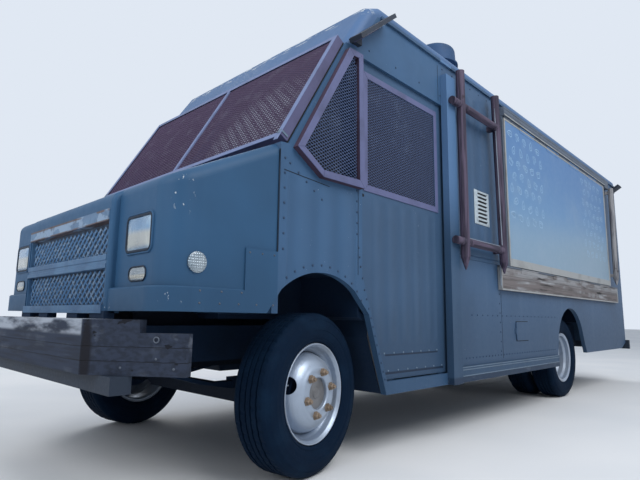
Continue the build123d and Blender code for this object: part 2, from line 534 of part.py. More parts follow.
# Serving hatch in its frame under a gutter, and the counter leaf that hangs below it
HATCH_Y = HALF_W + 3
HATCH_HINGE = (HATCH_Y + HATCH_T + 2, HATCH_TOP + 7 + SEAT)
GUTTER_Z = HATCH_TOP + 15
COUNTER_Y = HALF_W + 3
COUNTER_TOP = HATCH_BOTTOM - 16
COUNTER_HINGE = (COUNTER_Y + COUNTER_T + 3, COUNTER_TOP + 6)
frame_bar = box(HATCH_REAR - 30, HATCH_FRONT + 30, HALF_W, HALF_W + 28, HATCH_BOTTOM, GUTTER_Z)
frame_bar -= box(HATCH_REAR - 6, HATCH_FRONT + 6, HALF_W - 10, HALF_W + 50, HATCH_BOTTOM - 10, HATCH_TOP + 4)
frame_bar += box(HATCH_REAR - 30, HATCH_FRONT + 30, HALF_W, HALF_W + 50, GUTTER_Z, GUTTER_Z + 80)
frame_bar += box(HATCH_REAR - 215, HATCH_REAR - 29, HALF_W, HALF_W + 44, GUTTER_Z - 20, GUTTER_Z + 96)
frame_bar += box(COUNTER_REAR, COUNTER_FRONT, HALF_W, HALF_W + 31, HATCH_BOTTOM - 8, HATCH_BOTTOM)
hatch = box(HATCH_REAR, HATCH_FRONT, HATCH_Y, HATCH_Y + HATCH_T, HATCH_BOTTOM + 5, HATCH_TOP)
counter = box(COUNTER_REAR, COUNTER_FRONT, COUNTER_Y, COUNTER_Y + COUNTER_T, COUNTER_BOTTOM, COUNTER_TOP)


def knuckle_row(x0, x1, count, at, r):
    """Hinge knuckles along X about (y, z), turn about on the fixed and on the moving piece."""
    step_x = (x1 - x0) / count
    row = [rod((x0 + i * step_x + SEAT, *at), (x0 + (i + 1) * step_x - SEAT, *at), r) for i in range(count)]
    return row[0::2], row[1::2]


HATCH_KNUCKLES, COUNTER_KNUCKLES = 9, 9
fixed, moving = knuckle_row(HATCH_REAR, HATCH_FRONT, HATCH_KNUCKLES, HATCH_HINGE, 7)
for k in fixed:
    b = k.bounding_box()
    frame_bar += k + box(b.min.X, b.max.X, HATCH_HINGE[0] - 7, HATCH_HINGE[0], HATCH_HINGE[1], GUTTER_Z + 1)
for k in moving:
    b = k.bounding_box()
    hatch += k + box(b.min.X, b.max.X, HATCH_HINGE[0] - 7, HATCH_HINGE[0], HATCH_TOP - 40, HATCH_HINGE[1])
fixed, moving = knuckle_row(COUNTER_REAR, COUNTER_FRONT, COUNTER_KNUCKLES, COUNTER_HINGE, 5)
for k in fixed:
    b = k.bounding_box()
    frame_bar += k + box(b.min.X, b.max.X, HALF_W + 29, COUNTER_HINGE[0], COUNTER_HINGE[1] + 2, HATCH_BOTTOM)
for k in moving:
    b = k.bounding_box()
    counter += k + box(b.min.X, b.max.X, COUNTER_HINGE[0] - 5, COUNTER_HINGE[0], COUNTER_TOP - 30, COUNTER_HINGE[1])
parts["hatch_frame"] = frame_bar
parts["hatch_panel"] = hatch
parts["counter_board"] = counter

# Round posts with sharpened feet and bars of the guard behind the cab door, and one more post
# behind the hatch, whose foot stays above the counter's swing
POINT = 92.0
POSTS = ((1153.0, 1153.0, 1178.0, 2740.0), (487.0, 535.0, 1196.0, 2741.0), (-3062.0, -3125.0, 1296.0, 2645.0))
guards = []
for x_low, x_top, z_low, z_top in POSTS:
    axis = Vector(x_top - x_low, 0, z_top - z_low)
    profile = [(0, 0), (5, 0), (POST_R, POINT), (POST_R, axis.length), (0, axis.length)]
    post = revolve(Plane.XZ * make_face(Polyline(*profile, close=True)), Axis.Z)
    guards.append(Plane(origin=(x_low, GUARD_Y, z_low), z_dir=axis) * post)
guard_bars = guards[0] + guards[1]
for z, x_end in ((2458, 526), (1387, 493)):
    guard_bars += rod((1296, GUARD_Y, z), (x_end, GUARD_Y, z), BAR_R)
    guard_bars += box(x_end - 25, x_end + 25, HALF_W, GUARD_Y, z - 20, z + 20)
rear_post = guards[2]
for z in (1430, 2590):
    x = POSTS[2][0] + (POSTS[2][1] - POSTS[2][0]) * (z - POSTS[2][2]) / (POSTS[2][3] - POSTS[2][2])
    rear_post += box(x - 22, x + 22, HALF_W, GUARD_Y, z - 20, z + 20)
parts["guard_bars"] = apart([guard_bars, rear_post])

# Louvred vent
vent = box(568, 832, HALF_W, HALF_W + 16, 1584, 1870)
parts["vent"] = fillet(vent.edges().filter_by(Axis.Y), 12)

# Rub rails, drip rails and the covers on the posts behind the doors
rub = box(AXLE_REAR + 506, POST_X - 133, HALF_W, HALF_W + 22, SILL_Z, 474)
drip = box(REAR_X + 5, 2180 - CAP_R, HALF_W, HALF_W + 16, EAVE_Z - 8, EAVE_Z + 12)
cover = box(POST_X - 115, POST_X + 15, HALF_W, HALF_W + COVER_OUT, SILL_Z, 2670)
belt = box(HATCH_FRONT + 30, POST_X - 115, HALF_W, HALF_W + 20, BELT_LOW, BELT_HIGH)
belt += box(HATCH_FRONT + 30, POST_X - 115, HALF_W, HALF_W + 6, BELT_LOW - 31, BELT_LOW)
parts["side_rails"] = apart([twin for piece in (rub, drip, cover) for twin in both(piece)] + [belt])

# Wooden front bumper: planks on the face and the swept ends, and a top board
END_X = FACE_X - 270
END_Y = HALF_W + BUMPER_REACH
END = (END_X, END_Y)
BUMPER_Z = (BUMPER_LOW, BUMPER_HIGH)
bumper = box(FACE_X - 44, FACE_X, -FACE_HALF, FACE_HALF, *BUMPER_Z)
for bearer in both(box(RAIL_FRONT, FACE_X - 14, RAIL_Y0, RAIL_Y1, BUMPER_LOW + 69, BUMPER_HIGH)):
    bumper += bearer
for end in both(flat([(FACE_X, FACE_HALF), END, (END_X - 36, END_Y - 26), (FACE_X - 44, FACE_HALF - 14)], *BUMPER_Z)):
    bumper += end
TOP_X = FACE_X - 148
TOP_Y = FACE_HALF + 207
bumper += flat([(FACE_X, -FACE_HALF), (FACE_X, FACE_HALF), (TOP_X, TOP_Y), (TOP_X - 44, TOP_Y - 31),
                (FACE_X - 144, HALF_W - 231), (FACE_X - 144, 231 - HALF_W), (TOP_X - 44, 31 - TOP_Y), (TOP_X, -TOP_Y)],
               BUMPER_HIGH - 1, BUMPER_HIGH + 54)
parts["front_bumper"] = bumper

# Steel bar under the bumper with its two hangers, and the rear bumper
front_bar = box(FACE_X - 144, FACE_X - 54, 151 - HALF_W, HALF_W - 151, BUMPER_LOW - 73, BUMPER_LOW - 1)
for hanger in both(box(RAIL_FRONT, FACE_X - 64, RAIL_Y0, RAIL_Y1, BUMPER_LOW - 73, BUMPER_LOW + 68)):
    front_bar += hanger
rear_bar = box(REAR_X - 55, REAR_X, -HALF_W - 39, HALF_W + 39, 440, 560)
for hanger in both(box(REAR_X, -3500, RAIL_Y0, RAIL_Y1, 470, 529) + box(-3560, -3500, RAIL_Y0, RAIL_Y1, 470, RAIL_Z0)):
    rear_bar += hanger
parts["bumper_steel"] = apart([front_bar, rear_bar])

# Mushroom fan on the roof: curb, guard ring and spun dome
dome_low, dome_top = ROOF_Z + 192, ROOF_Z + 345
fan = Pos(FAN_X, HALF_W - FAN_INSET, 0) * revolve(Plane.XZ * make_face(
    Polyline((0, ROOF_Z), (150, ROOF_Z), (150, ROOF_Z + 60), (162, ROOF_Z + 150), (FAN_R + 18, ROOF_Z + 170),
             (FAN_R + 18, ROOF_Z + 184), (FAN_R, dome_low), (FAN_R - 6, dome_top - 55))
    + ThreePointArc((FAN_R - 6, dome_top - 55), (FAN_R - 20, dome_top - 17), (FAN_R - 52, dome_top))
    + Polyline((FAN_R - 52, dome_top), (0, dome_top), (0, ROOF_Z))), Axis.Z)
parts["roof_fan"] = fan

# Flat floodlights on brackets: a long one that leans back at the cab's upper corner, and a short
# one that stands out at the rear end of the gutter
LIGHT_T = 28.0
LEAN = 40.3
front_light = Pos(2413, HALF_W + 65, 2468) * Rot(0, LEAN, 0) * box(-461, 0, -48, 48, -LIGHT_T / 2, LIGHT_T / 2)
front_light += slab([(2310, 2478), (2392, 2478), (2392, 2506), (2330, 2545), (2310, 2520)], HALF_W, HALF_W + 30)
rear_plate = [(HALF_W + 3, 2702), (HALF_W + 107, 2767), (HALF_W + 94, 2789), (HALF_W + 3, 2731)]
rear_light = Pos(-3657, 0, 0) * extrude(Plane.YZ * make_face(Polyline(*rear_plate, close=True)), amount=157, dir=(1, 0, 0))
rear_light += box(-3600, -3540, HALF_W, HALF_W + 20, 2680, 2735)
parts["floodlights"] = apart([front_light, rear_light])

os.makedirs("parts", exist_ok=True)
for name, shape in parts.items():
    if not shape.solids():
        raise SystemExit("no solid in " + name)
    if isinstance(shape, Compound) and len(shape.solids()) > 1:
        shape = Compound(children=list(shape.solids()))
    export_step(shape, "parts/" + name + ".step")
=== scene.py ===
import math

import bpy
import numpy as np
from mathutils import Matrix


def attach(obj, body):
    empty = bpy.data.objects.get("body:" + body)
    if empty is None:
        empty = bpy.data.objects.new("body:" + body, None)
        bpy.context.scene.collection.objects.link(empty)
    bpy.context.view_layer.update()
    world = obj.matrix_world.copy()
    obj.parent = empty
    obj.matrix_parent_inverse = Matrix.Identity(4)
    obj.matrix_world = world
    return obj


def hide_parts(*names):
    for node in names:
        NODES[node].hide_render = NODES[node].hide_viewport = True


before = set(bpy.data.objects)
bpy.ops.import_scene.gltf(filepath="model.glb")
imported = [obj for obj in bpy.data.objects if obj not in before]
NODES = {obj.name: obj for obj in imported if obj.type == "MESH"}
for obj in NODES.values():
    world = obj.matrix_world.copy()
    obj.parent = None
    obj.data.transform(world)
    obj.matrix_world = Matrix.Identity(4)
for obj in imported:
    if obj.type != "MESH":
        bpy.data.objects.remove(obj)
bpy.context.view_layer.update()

# Places on the truck, in metres: +X forward, +Y left, +Z up
TURN = 2 * math.pi
X, Y, Z = np.eye(3)
SIDES = {"left": 1, "right": -1}
SIDE_AXES = (-X, Z, Y)                 # side, up and out on the left wall
FRONT_AXES = (Y, Z, X)                 # and on the front
FRONT_HUB = np.array([2.616, 0.918, 0.419])      # middle of the left front wheel, before it is steered
REAR_HUBS = [np.array([-1.376, y, 0.419]) for y in (0.869, 0.589)]
KINGPIN_Y = 0.8
STEER = math.radians(9.4)
STUD_RADIUS = 0.111125
WALL_Y = 1.0812                        # on the skin of the side walls
DOOR_Y = 1.0582                        # on the skin of the sliding doors
HATCH_Y = 1.1151                       # on the face of the hatch
COUNTER_Y = 1.1181                     # on the face of the folded counter
BUMPER_X = 3.7018                      # on the face of the bumper
WINDOW = (1.40, 2.20, 1.62, 2.322)     # x and z of the door's window
LOUVRE_LOW, LOUVRE_PITCH = 1.604, 0.033


# Finishes

def ink(red, green, blue):
    """A colour given as a screen's 0 to 255 values, as the shader wants it."""
    values = (((c / 255 + 0.055) / 1.055) ** 2.4 if c > 10 else c / 3294.6 for c in (red, green, blue))
    return (*values, 1.0)


def shade(colour, share, lift=0):
    """A colour whose values are multiplied by a share and lifted."""
    return tuple(c * share + lift for c in colour)


class Wire:
    """One output socket of a finish. Sums, products and remainders of wires add Math nodes."""

    def __init__(self, finish, socket):
        self.finish = finish
        self.socket = socket

    def calculate(self, operation, a, b):
        return self.finish.node("ShaderNodeMath", {"operation": operation}, {0: a, 1: b})

    def __add__(self, other):
        return self.calculate("ADD", self, other)

    def __radd__(self, other):
        return self.calculate("ADD", other, self)

    def __sub__(self, other):
        return self.calculate("SUBTRACT", self, other)

    def __rsub__(self, other):
        return self.calculate("SUBTRACT", other, self)

    def __mul__(self, other):
        return self.calculate("MULTIPLY", self, other)

    def __rmul__(self, other):
        return self.calculate("MULTIPLY", other, self)

    def __mod__(self, other):
        return self.calculate("FLOORED_MODULO", self, other)

    def larger(self, other):
        return self.calculate("MAXIMUM", self, other)

    def sine(self):
        return self.calculate("SINE", self, 0.0)


class Finish:
    """A material made of nodes around one shader. node() is the only way that a node comes in."""

    def __init__(self, name, **constants):
        self.name = name
        self.material = bpy.data.materials.new(name)
        self.material.use_nodes = True
        self.tree = self.material.node_tree
        self.shader = next(n for n in self.tree.nodes if n.type == "BSDF_PRINCIPLED")
        for socket, value in constants.items():
            self.shader.inputs[socket.replace("_", " ")].default_value = value
        self.place = self.node("ShaderNodeTexCoord", out="Object")
        self.x, self.y, self.z = (
            self.node("ShaderNodeSeparateXYZ", None, {0: self.place}, axis) for axis in "XYZ")

    def node(self, kind, settings=None, sockets=None, out=0):
        """A node of one kind: its settings are set first, then the values or wires of its sockets."""
        made = self.tree.nodes.new(kind)
        for key, value in (settings or {}).items():
            setattr(made, key, value)
        for key, value in (sockets or {}).items():
            if isinstance(value, Wire):
                self.tree.links.new(value.socket, made.inputs[key])
            else:
                made.inputs[key].default_value = value
        return Wire(self, made.outputs[out])

    def noise(self, scale, detail=3.0, stretch=(1, 1, 1), shift=(0, 0, 0)):
        """Cloudy noise between 0 and 1, stretched along an axis by a small factor there."""
        where = self.node("ShaderNodeMapping", None, {0: self.place, 1: shift, 3: stretch})
        return self.node("ShaderNodeTexNoise", None, {"Vector": where, "Scale": scale, "Detail": detail})

    def ramp(self, wire, low, high):
        """0 under low and 1 over high, with a soft step between; turned round where low is more."""
        sockets = {0: wire, 1: low, 2: high, 3: 0.0, 4: 1.0}
        return self.node("ShaderNodeMapRange", {"interpolation_type": "SMOOTHSTEP"}, sockets)

    def patches(self, scale, detail, low, high, stretch=(1, 1, 1), shift=(0, 0, 0)):
        """Noise made into patches: 0 where it is under low and 1 where it is over high."""
        return self.ramp(self.noise(scale, detail, stretch, shift), low, high)

    def within(self, wire, low, high, soft=0.002):
        """1 between low and high and 0 outside."""
        return self.ramp(wire, low - soft, low) * self.ramp(wire, high + soft, high)

    def inside(self, outer, inner):
        """1 where |y| is under inner and 0 where it is over outer, alike on both sides of the truck."""
        return self.ramp(self.y * self.y, outer ** 2, inner ** 2)

    def near(self, centre, size):
        """1 at a centre, falling to 0 at an oval of the given half sizes."""
        sockets = {0: self.place, 1: centre, 3: size}
        scaled = self.node("ShaderNodeMapping", {"vector_type": "TEXTURE"}, sockets)
        away = self.node("ShaderNodeVectorMath", {"operation": "LENGTH"}, {0: scaled}, 1)
        return self.ramp(away, 1.0, 0.5)

    def blend(self, one, other, share):
        """One colour turning into the other by a share. Each is a wire or a screen's three values."""
        one, other = (c if isinstance(c, Wire) else ink(*c) for c in (one, other))
        return self.node("ShaderNodeMix", {"data_type": "RGBA"}, {0: share, 6: one, 7: other}, 2)

    def colour(self, wire):
        self.tone = wire
        self.tree.links.new(wire.socket, self.shader.inputs["Base Color"])

    def rough(self, wire):
        self.tree.links.new(wire.socket, self.shader.inputs["Roughness"])

    def metal(self, wire):
        self.tree.links.new(wire.socket, self.shader.inputs["Metallic"])

    def relief(self, height, distance):
        """A bump of a height wire, distance metres for a height of 1."""
        bump = self.node("ShaderNodeBump", None, {"Height": height, "Distance": distance, "Strength": 1.0})
        self.tree.links.new(bump.socket, self.shader.inputs["Normal"])


def painted_body(name, colour, streaks=0.10, wear=None, flutes=None, reveal=None):
    """Slate blue van paint: clouded, with rain streaks, faint dents and specks, darker towards the ground.
    wear is (ovals, run, scale, level): in each oval of (centre, half sizes) the paint is chipped where noise
    of that scale, drawn out by the factors of run, is over level. flutes is (x0, x1, z0, z1, pitch) of
    upright pressed waves, with painted highlight on their crests and painted shade in their troughs, and
    reveal is (x0, x1, outer y, z0, z1) of an opening's edge, painted dark as shade."""
    f = Finish(name, Specular_IOR_Level=0.22)
    deep, pale, bare = shade(colour, 0.9), shade(colour, 0.92, 16), (196, 203, 208)
    tone = f.blend(deep, colour, f.patches(1.3, 4.0, 0.3, 0.6))
    tone = f.blend(tone, pale, f.patches(9.0, 4.0, 0.52, 0.78, (1, 1, 0.05)) * (streaks * 4))
    marks = f.patches(95.0, 2.0, 0.755, 0.775) * f.patches(2.2, 2.0, 0.52, 0.66)
    if wear:
        ovals, run, scale, level = wear
        chips = f.patches(scale, 8.0, level, level + 0.02, run)
        for centre, size in ovals:
            marks = marks.larger(chips * f.near(centre, size))
    tone = f.blend(tone, shade(colour, 0.74), f.ramp(f.z, 1.25, 0.55) * 0.6)
    height = f.noise(2.4, 1.0) * 0.8 + f.noise(140.0, 1.0) * 0.02 - marks * 0.15
    if flutes:
        x0, x1, z0, z1, pitch = flutes
        wave = (f.x * (TURN / pitch)).sine() * f.within(f.x, x0, x1, 0.02) * f.within(f.z, z0, z1, 0.06)
        # Painted highlight on the flutes' crests and painted shade in their troughs, beside the real bump
        # below
        tone = f.blend(tone, pale, wave.larger(0.0) * 0.22)
        tone = f.blend(tone, deep, (0 - wave).larger(0.0) * 0.6)
        height = height + wave * 0.85
    if reveal:
        x0, x1, outer, z0, z1 = reveal
        edge = f.within(f.x, x0, x1) * f.within(f.z, z0, z1) * f.inside(outer, outer - 0.001)
        # Painted shade along the opening's edge
        tone = f.blend(tone, (14, 18, 28), edge)
    f.colour(f.blend(tone, bare, marks * 0.85))
    f.rough(0.42 + f.noise(24.0, 3.0) * 0.16 + marks * 0.25)
    f.relief(height, 0.004)
    return f


def plain_metal(name, colour, rough=0.5, metallic=0.0, grime=0.35, fine=60.0):
    """Painted or bare metal with grime in clouds and a fine roughness."""
    f = Finish(name, Specular_IOR_Level=0.3)
    dirt = f.patches(6.0, 5.0, 0.45, 0.75) * grime
    f.colour(f.blend(colour, shade(colour, 0.55), dirt))
    f.rough(rough + f.noise(fine, 3.0) * 0.2)
    if metallic:
        f.metal(metallic - dirt * 0.5)
    f.relief(f.noise(fine, 3.0), 0.0006)
    return f


def timber(name, colour, worn, along, wear, top_wear, seams, posts=()):
    """Weathered wood whose grain runs along one axis, with paler worn streaks and dark cracks. top_wear is
    (low, high, amount, reach): from z = low to high the wood turns worn, out to |y| = reach. seams are the
    heights of plank joints, posts are (centre, half sizes) of darker end grain."""
    f = Finish(name, Specular_IOR_Level=0.2)
    stretch = tuple(0.06 if axis == along else 1.0 for axis in "xyz")
    stretch_worn = tuple(0.35 if axis == along else 1.6 for axis in "xyz")
    grain = f.noise(55.0, 6.0, stretch)
    tone = f.blend(shade(colour, 0.8), colour, f.ramp(grain, 0.35, 0.62))
    streaks = f.patches(22.0, 5.0, 0.5, 0.68, stretch) * f.patches(4.0, 5.0, 0.42, 0.66) * wear
    low, high, amount, reach = top_wear
    rubbed = f.ramp(f.z, low, high) * f.patches(9.0, 8.0, 0.34, 0.56, stretch_worn)
    rubbed = rubbed * f.inside(reach + 0.02, reach) * amount
    tone = f.blend(tone, worn, streaks.larger(rubbed))
    crack = f.patches(30.0, 3.0, 0.66, 0.7, stretch, (3, 1, 2))
    for level in seams:
        crack = crack.larger(f.within(f.z + grain * 0.008, level, level + 0.001, 0.0018) * 0.8)
    for centre, size in posts:
        tone = f.blend(tone, (22, 22, 28), f.near(centre, size) * 0.9)
    f.colour(f.blend(tone, (14, 14, 18), crack * 0.8))
    f.rough(0.72 + grain * 0.2)
    f.relief(grain * 0.5 - crack, 0.0022)
    return f


def mesh_paint(name, colour, edge, patch=(9.0, 0.5, 0.75), glint=None):
    """Dark paint on expanded metal, rubbed paler in clouds of (scale, low, high). glint is the centre and
    half sizes of an oval of painted highlight on the bridges between strands, in a staggered grid of dots."""
    f = Finish(name, Specular_IOR_Level=0.35)
    scale, low, high = patch
    rub = f.patches(scale, 4.0, low, high)
    if glint:
        # Painted highlight on the bridges; from here on rub holds both the rubbed paint and this painted
        # highlight
        across, upward = f.y * (TURN / 0.052), f.z * (TURN / 0.040)
        bridges = f.ramp((across + upward).sine() * (across - upward).sine(), 0.25, 0.6)
        rub = (rub * 0.12).larger(bridges * f.near(*glint) * f.patches(2.5, 2.0, 0.30, 0.5) * 0.9)
    # edge is the colour of the rubbed paint and of the painted highlight
    f.colour(f.blend(colour, edge, rub * 0.7))
    f.rough(0.5 + f.noise(80.0, 2.0) * 0.2)
    return f


def grille_finish():
    """Dark behind, bare worn aluminium with flakes of blue on the top strip, blue-grey on the rest."""
    f = Finish("grille_strips")
    behind, top = f.ramp(f.x, 3.518, 3.512), f.ramp(f.z, 1.24, 1.25)
    blue = f.blend((56, 90, 124), (72, 108, 142), f.patches(5.0, 4.0, 0.4, 0.6))
    bare = f.blend((140, 162, 186), (98, 110, 126), f.patches(26.0, 5.0, 0.5, 0.7))
    flake = f.patches(11.0, 6.0, 0.5, 0.53, (1, 0.55, 1))
    tone = f.blend(blue, f.blend(bare, blue, flake * 0.75), top)
    edges = f.within(f.z, 1.2585, 1.264, 0.003).larger(f.within(f.z, 1.308, 1.318, 0.003))
    tone = f.blend(tone, (88, 62, 48), edges * f.patches(18.0, 5.0, 0.38, 0.5, (1, 0.3, 1)) * 0.85)
    f.colour(f.blend(tone, (18, 36, 58), behind))
    f.rough(0.42 + f.noise(40.0, 4.0) * 0.25)
    f.metal(top * (1 - flake) * 0.6)
    f.relief(flake * 0.6 + f.noise(60.0, 3.0) * 0.3, 0.0012)
    return f


def lens_finish(name, warm, cold, weave):
    """A clear lens, ribbed, or woven by a share, over a reflector painted bright in two cold colours as a
    painted reflection, with a warmer band from one height to another."""
    f = Finish(name, Coat_Weight=1.0, Coat_Roughness=0.05)
    low, high = warm
    # Painted reflection: the reflector's bright cold colours
    tone = f.blend(*cold, f.patches(9.0, 2.0, 0.4, 0.65))
    tone = f.blend(tone, (196, 190, 170), f.within(f.z, low, high, (high - low) * 0.8) * 0.7)
    across = f.y + f.x
    grid = f.ramp(((across + f.z) * 430.0).sine() * ((across - f.z) * 430.0).sine(), 0.05, 0.5) * weave
    f.colour(f.blend(tone, (84, 92, 100), grid * 0.6))
    f.rough(0.16 + f.noise(30.0, 2.0) * 0.1)
    f.metal(0.35 + f.noise(14.0, 1.0) * 0.2)
    f.relief((across * 620.0).sine() + (f.z * 540.0).sine() * weave, 0.0006)
    return f


def picture_finish():
    """A faded print: blue at the upper front end, turning grey downwards and to the rear."""
    f = Finish("hatch_print", Specular_IOR_Level=0.3)
    down, back = f.ramp(f.z, 2.62, 1.36), f.ramp(f.x, 0.2, -2.9)
    tone = f.blend((78, 120, 168), (106, 146, 182), down)
    tone = f.blend(tone, (130, 154, 172), f.ramp(down + back * 0.2, 0.55, 1.2))
    tone = f.blend(tone, (138, 158, 178), f.patches(2.6, 5.0, 0.45, 0.75) * 0.22)
    f.colour(f.blend(tone, (190, 198, 200), f.patches(70.0, 3.0, 0.74, 0.77) * 0.5))
    f.rough(0.36 + f.noise(20.0, 3.0) * 0.2)
    f.relief(f.noise(3.0, 1.0), 0.002)
    return f


def post_finish():
    """Brown-red stained poles, the grain along each pole or bar, greyer on the post at the hatch's rear."""
    f = Finish("post_stain", Specular_IOR_Level=0.2)
    bars = f.within(f.z, 1.345, 1.430, 0.004).larger(f.within(f.z, 2.415, 2.500, 0.004))
    bars = bars * f.within(f.x, 0.62, 1.06, 0.004)
    upright, level = f.noise(46.0, 5.0, (1, 1, 0.05)), f.noise(46.0, 5.0, (0.05, 1, 1))
    grain = upright + (level - upright) * bars
    red = f.blend((48, 44, 58), (90, 80, 98), f.ramp(grain, 0.34, 0.66))
    grey = f.blend((92, 92, 98), (150, 150, 152), f.ramp(grain, 0.36, 0.62))
    tone = f.blend(red, grey, f.ramp(f.x, -2.0, -2.4))
    f.colour(f.blend(tone, (34, 24, 22), f.patches(9.0, 4.0, 0.66, 0.74) * 0.7))
    f.rough(0.6 + grain * 0.2)
    f.relief(grain, 0.0015)
    return f


def tyre_finish():
    """Black rubber with dust in clouds."""
    f = Finish("tyre_rubber", Specular_IOR_Level=0.12)
    f.colour(f.blend((0, 21, 42), (10, 36, 58), f.patches(7.0, 5.0, 0.45, 0.8) * 0.6))
    f.rough(0.72 + f.noise(60.0, 3.0) * 0.2)
    f.relief(f.noise(220.0, 2.0), 0.0003)
    return f


def wheel_finish():
    """Silver wheel paint with brake dust in clouds and a few chips."""
    f = Finish("wheel_silver")
    dust = f.patches(5.0, 4.0, 0.45, 0.78)
    tone = f.blend((160, 172, 188), (116, 120, 126), dust * 0.6)
    f.colour(f.blend(tone, (92, 66, 50), f.patches(120.0, 3.0, 0.72, 0.75) * 0.5))
    f.rough(0.3 + f.noise(30.0, 4.0) * 0.2)
    f.metal(0.65 - dust * 0.5)
    f.relief(f.noise(90.0, 2.0), 0.0004)
    return f


def glass_finish():
    """Dark window glass with dust; its darkness is painted shade standing for the cab's inside."""
    f = Finish("window_glass", Alpha=0.7, Specular_IOR_Level=0.3)
    dust = f.patches(3.0, 5.0, 0.4, 0.8)
    # Painted shade: the dark glass stands for the shaded inside of the cab
    f.colour(f.blend((14, 12, 22), (34, 32, 44), dust * 0.6))
    f.rough(0.06 + dust * 0.2)
    return f


def vent_finish():
    """White plastic, black in the mouth of 13 mm under each louvre, painted there as shade."""
    f = Finish("vent_white")
    # Painted shade in the openings under the louvres
    mouth = f.within((f.z - LOUVRE_LOW) % LOUVRE_PITCH, 0.0, 0.013, 0.001) * f.within(f.x, 0.625, 0.775)
    grime = f.patches(30.0, 4.0, 0.45, 0.75)
    f.colour(f.blend(f.blend((176, 188, 196), (134, 144, 150), grime * 0.7), (22, 26, 32), mouth))
    f.rough(0.45 + grime * 0.2)
    return f


def rail_finish():
    """The rails' paint, paler on the corner covers as a painted highlight, and darker with grey dirt along
    the rub rail's foot.
    """
    f = painted_body("rail_paint", (58, 86, 116))
    # Painted highlight: the corner covers' outer faces made paler, more so higher up
    cover_highlight = f.within(f.x, 1.18, 1.33, 0.01) * f.ramp(f.z, 1.3, 1.9) * 0.8
    dirt = f.blend((26, 44, 66), (96, 104, 114), f.patches(9.0, 5.0, 0.56, 0.70, (0.3, 1, 1)))
    f.colour(f.blend(f.blend(f.tone, (88, 122, 162), cover_highlight), dirt, f.ramp(f.z, 0.42, 0.40) * 0.85))
    return f


def door_finish():
    """The sliding door's paint, darker downwards, with two grooves at its foot and painted shade behind its
    screen; the grooves are painted dark as their shade.
    """
    f = painted_body("door_paint", (62, 89, 119), flutes=(1.42, 2.14, 0.70, 1.50, 0.148))
    x0, x1, z0, z1 = WINDOW
    window = f.within(f.x, x0, x1, 0.004) * f.within(f.z, z0, z1, 0.004) * f.inside(1.0565, 1.0555)
    upper = f.within(f.z, 0.588, 0.597) * f.within(f.x, 1.41, 2.02, 0.003)
    lower = f.within(f.z, 0.478, 0.490) * f.within(f.x, 1.34, 2.03, 0.003)
    tone = f.blend(f.tone, (50, 72, 97), f.ramp(f.z, 0.95, 0.50) * 0.8)
    # Painted shade in the two grooves
    tone = f.blend(tone, (16, 30, 50), upper.larger(lower) * 0.8)
    # Painted shade on the door's paint in the recess behind the screen
    f.colour(f.blend(tone, (30, 26, 40), window))
    return f


def floor_finish():
    """Scuffed aluminium treads, painted dark under the floor and outside the step wells, whose front edge
    leans forward by 0.3858 for each metre up from the sill, as far as x = 2.15."""
    f = Finish("floor_metal", Specular_IOR_Level=0.3)
    edge = 0 - (0 - ((f.z - 0.363) * 0.3858 + 2.02)).larger(-2.15)
    under = f.ramp(f.z, 0.8012, 0.8004) * f.inside(0.642, 0.641)
    dark = f.ramp(f.x - edge, -0.006, -0.003).larger(under).larger(f.ramp(f.z, 0.3645, 0.3635))
    tread = f.blend((134, 136, 140), (92, 94, 98), f.patches(7.0, 5.0, 0.42, 0.7))
    f.colour(f.blend(tread, (10, 34, 58), dark))
    f.rough(0.45 + f.noise(40.0, 3.0) * 0.2 + dark * 0.2)
    f.metal(0.5 - dark * 0.5)
    return f


CAP_WEAR = [((2.21, y, 2.80), (0.10, 0.34, 0.055)) for y in (-0.9, -0.45, 0.0, 0.45, 0.9)]
NOSE_WEAR = [((3.48, 1.05, 0.885), (0.065, 0.065, 0.032)), ((3.45, 1.06, 1.34), (0.06, 0.06, 0.12)),
             ((3.53, 0.60, 0.86), (0.06, 0.05, 0.07))]
BUMPER_POST = ((3.69, 0.772, 0.656), (0.036, 0.030, 0.2))
# Oval of the painted highlight on the windshield mesh
GLINT = ((2.74, 0.80, 1.82), (0.46, 0.62, 0.50))
# Colour, roughness, metal, grime and fineness
PLAIN = {
    "chassis_black": ((8, 34, 60), 0.7),
    "cast_metal": ((16, 28, 44), 0.7),
    "frame_mauve": ((93, 98, 134), 0.45, 0.0, 0.4),
    # Lit and shaded copies of frame_mauve: painted light on the faces, painted shade on the sides
    "frame_face_painted_light": ((112, 126, 164), 0.45, 0.0, 0.4),
    "frame_side_painted_shade": ((84, 84, 116), 0.5, 0.0, 0.4),
    "web_painted_shade": ((66, 52, 70), 0.6),
    "hub_worn": ((122, 122, 124), 0.4, 0.4, 0.9, 90.0),
    "nut_rust": ((138, 122, 106), 0.45, 0.4, 1.0, 160.0),
    "hatch_frame_grey": ((92, 102, 116), 0.45, 0.3),
    "pale_alloy": ((160, 162, 162), 0.45, 0.3, 0.45),
    "motif_white": ((164, 196, 222), 0.5, 0.0, 0.25),
    "strip_white": ((138, 148, 162), 0.5),
    "bumper_steel": ((38, 48, 62), 0.5, 0.2),
    "fan_metal": ((44, 74, 110), 0.5, 0.2),
    "light_black": ((40, 48, 62), 0.45),
    "light_face": ((168, 172, 178), 0.35, 0.3),
    "bezel_blue": ((20, 36, 54), 0.4),
    # Black for real seams, and for painted shade in the gaps and holes of the flap, windshield frame and
    # latches
    "black_seams_and_shade": ((22, 24, 28), 0.75),
    "bolt_grey": ((104, 122, 140), 0.45, 0.3),
    "rivet_blue": ((38, 62, 90), 0.4),
    "screw_grey": ((84, 92, 104), 0.5, 0.3),
}
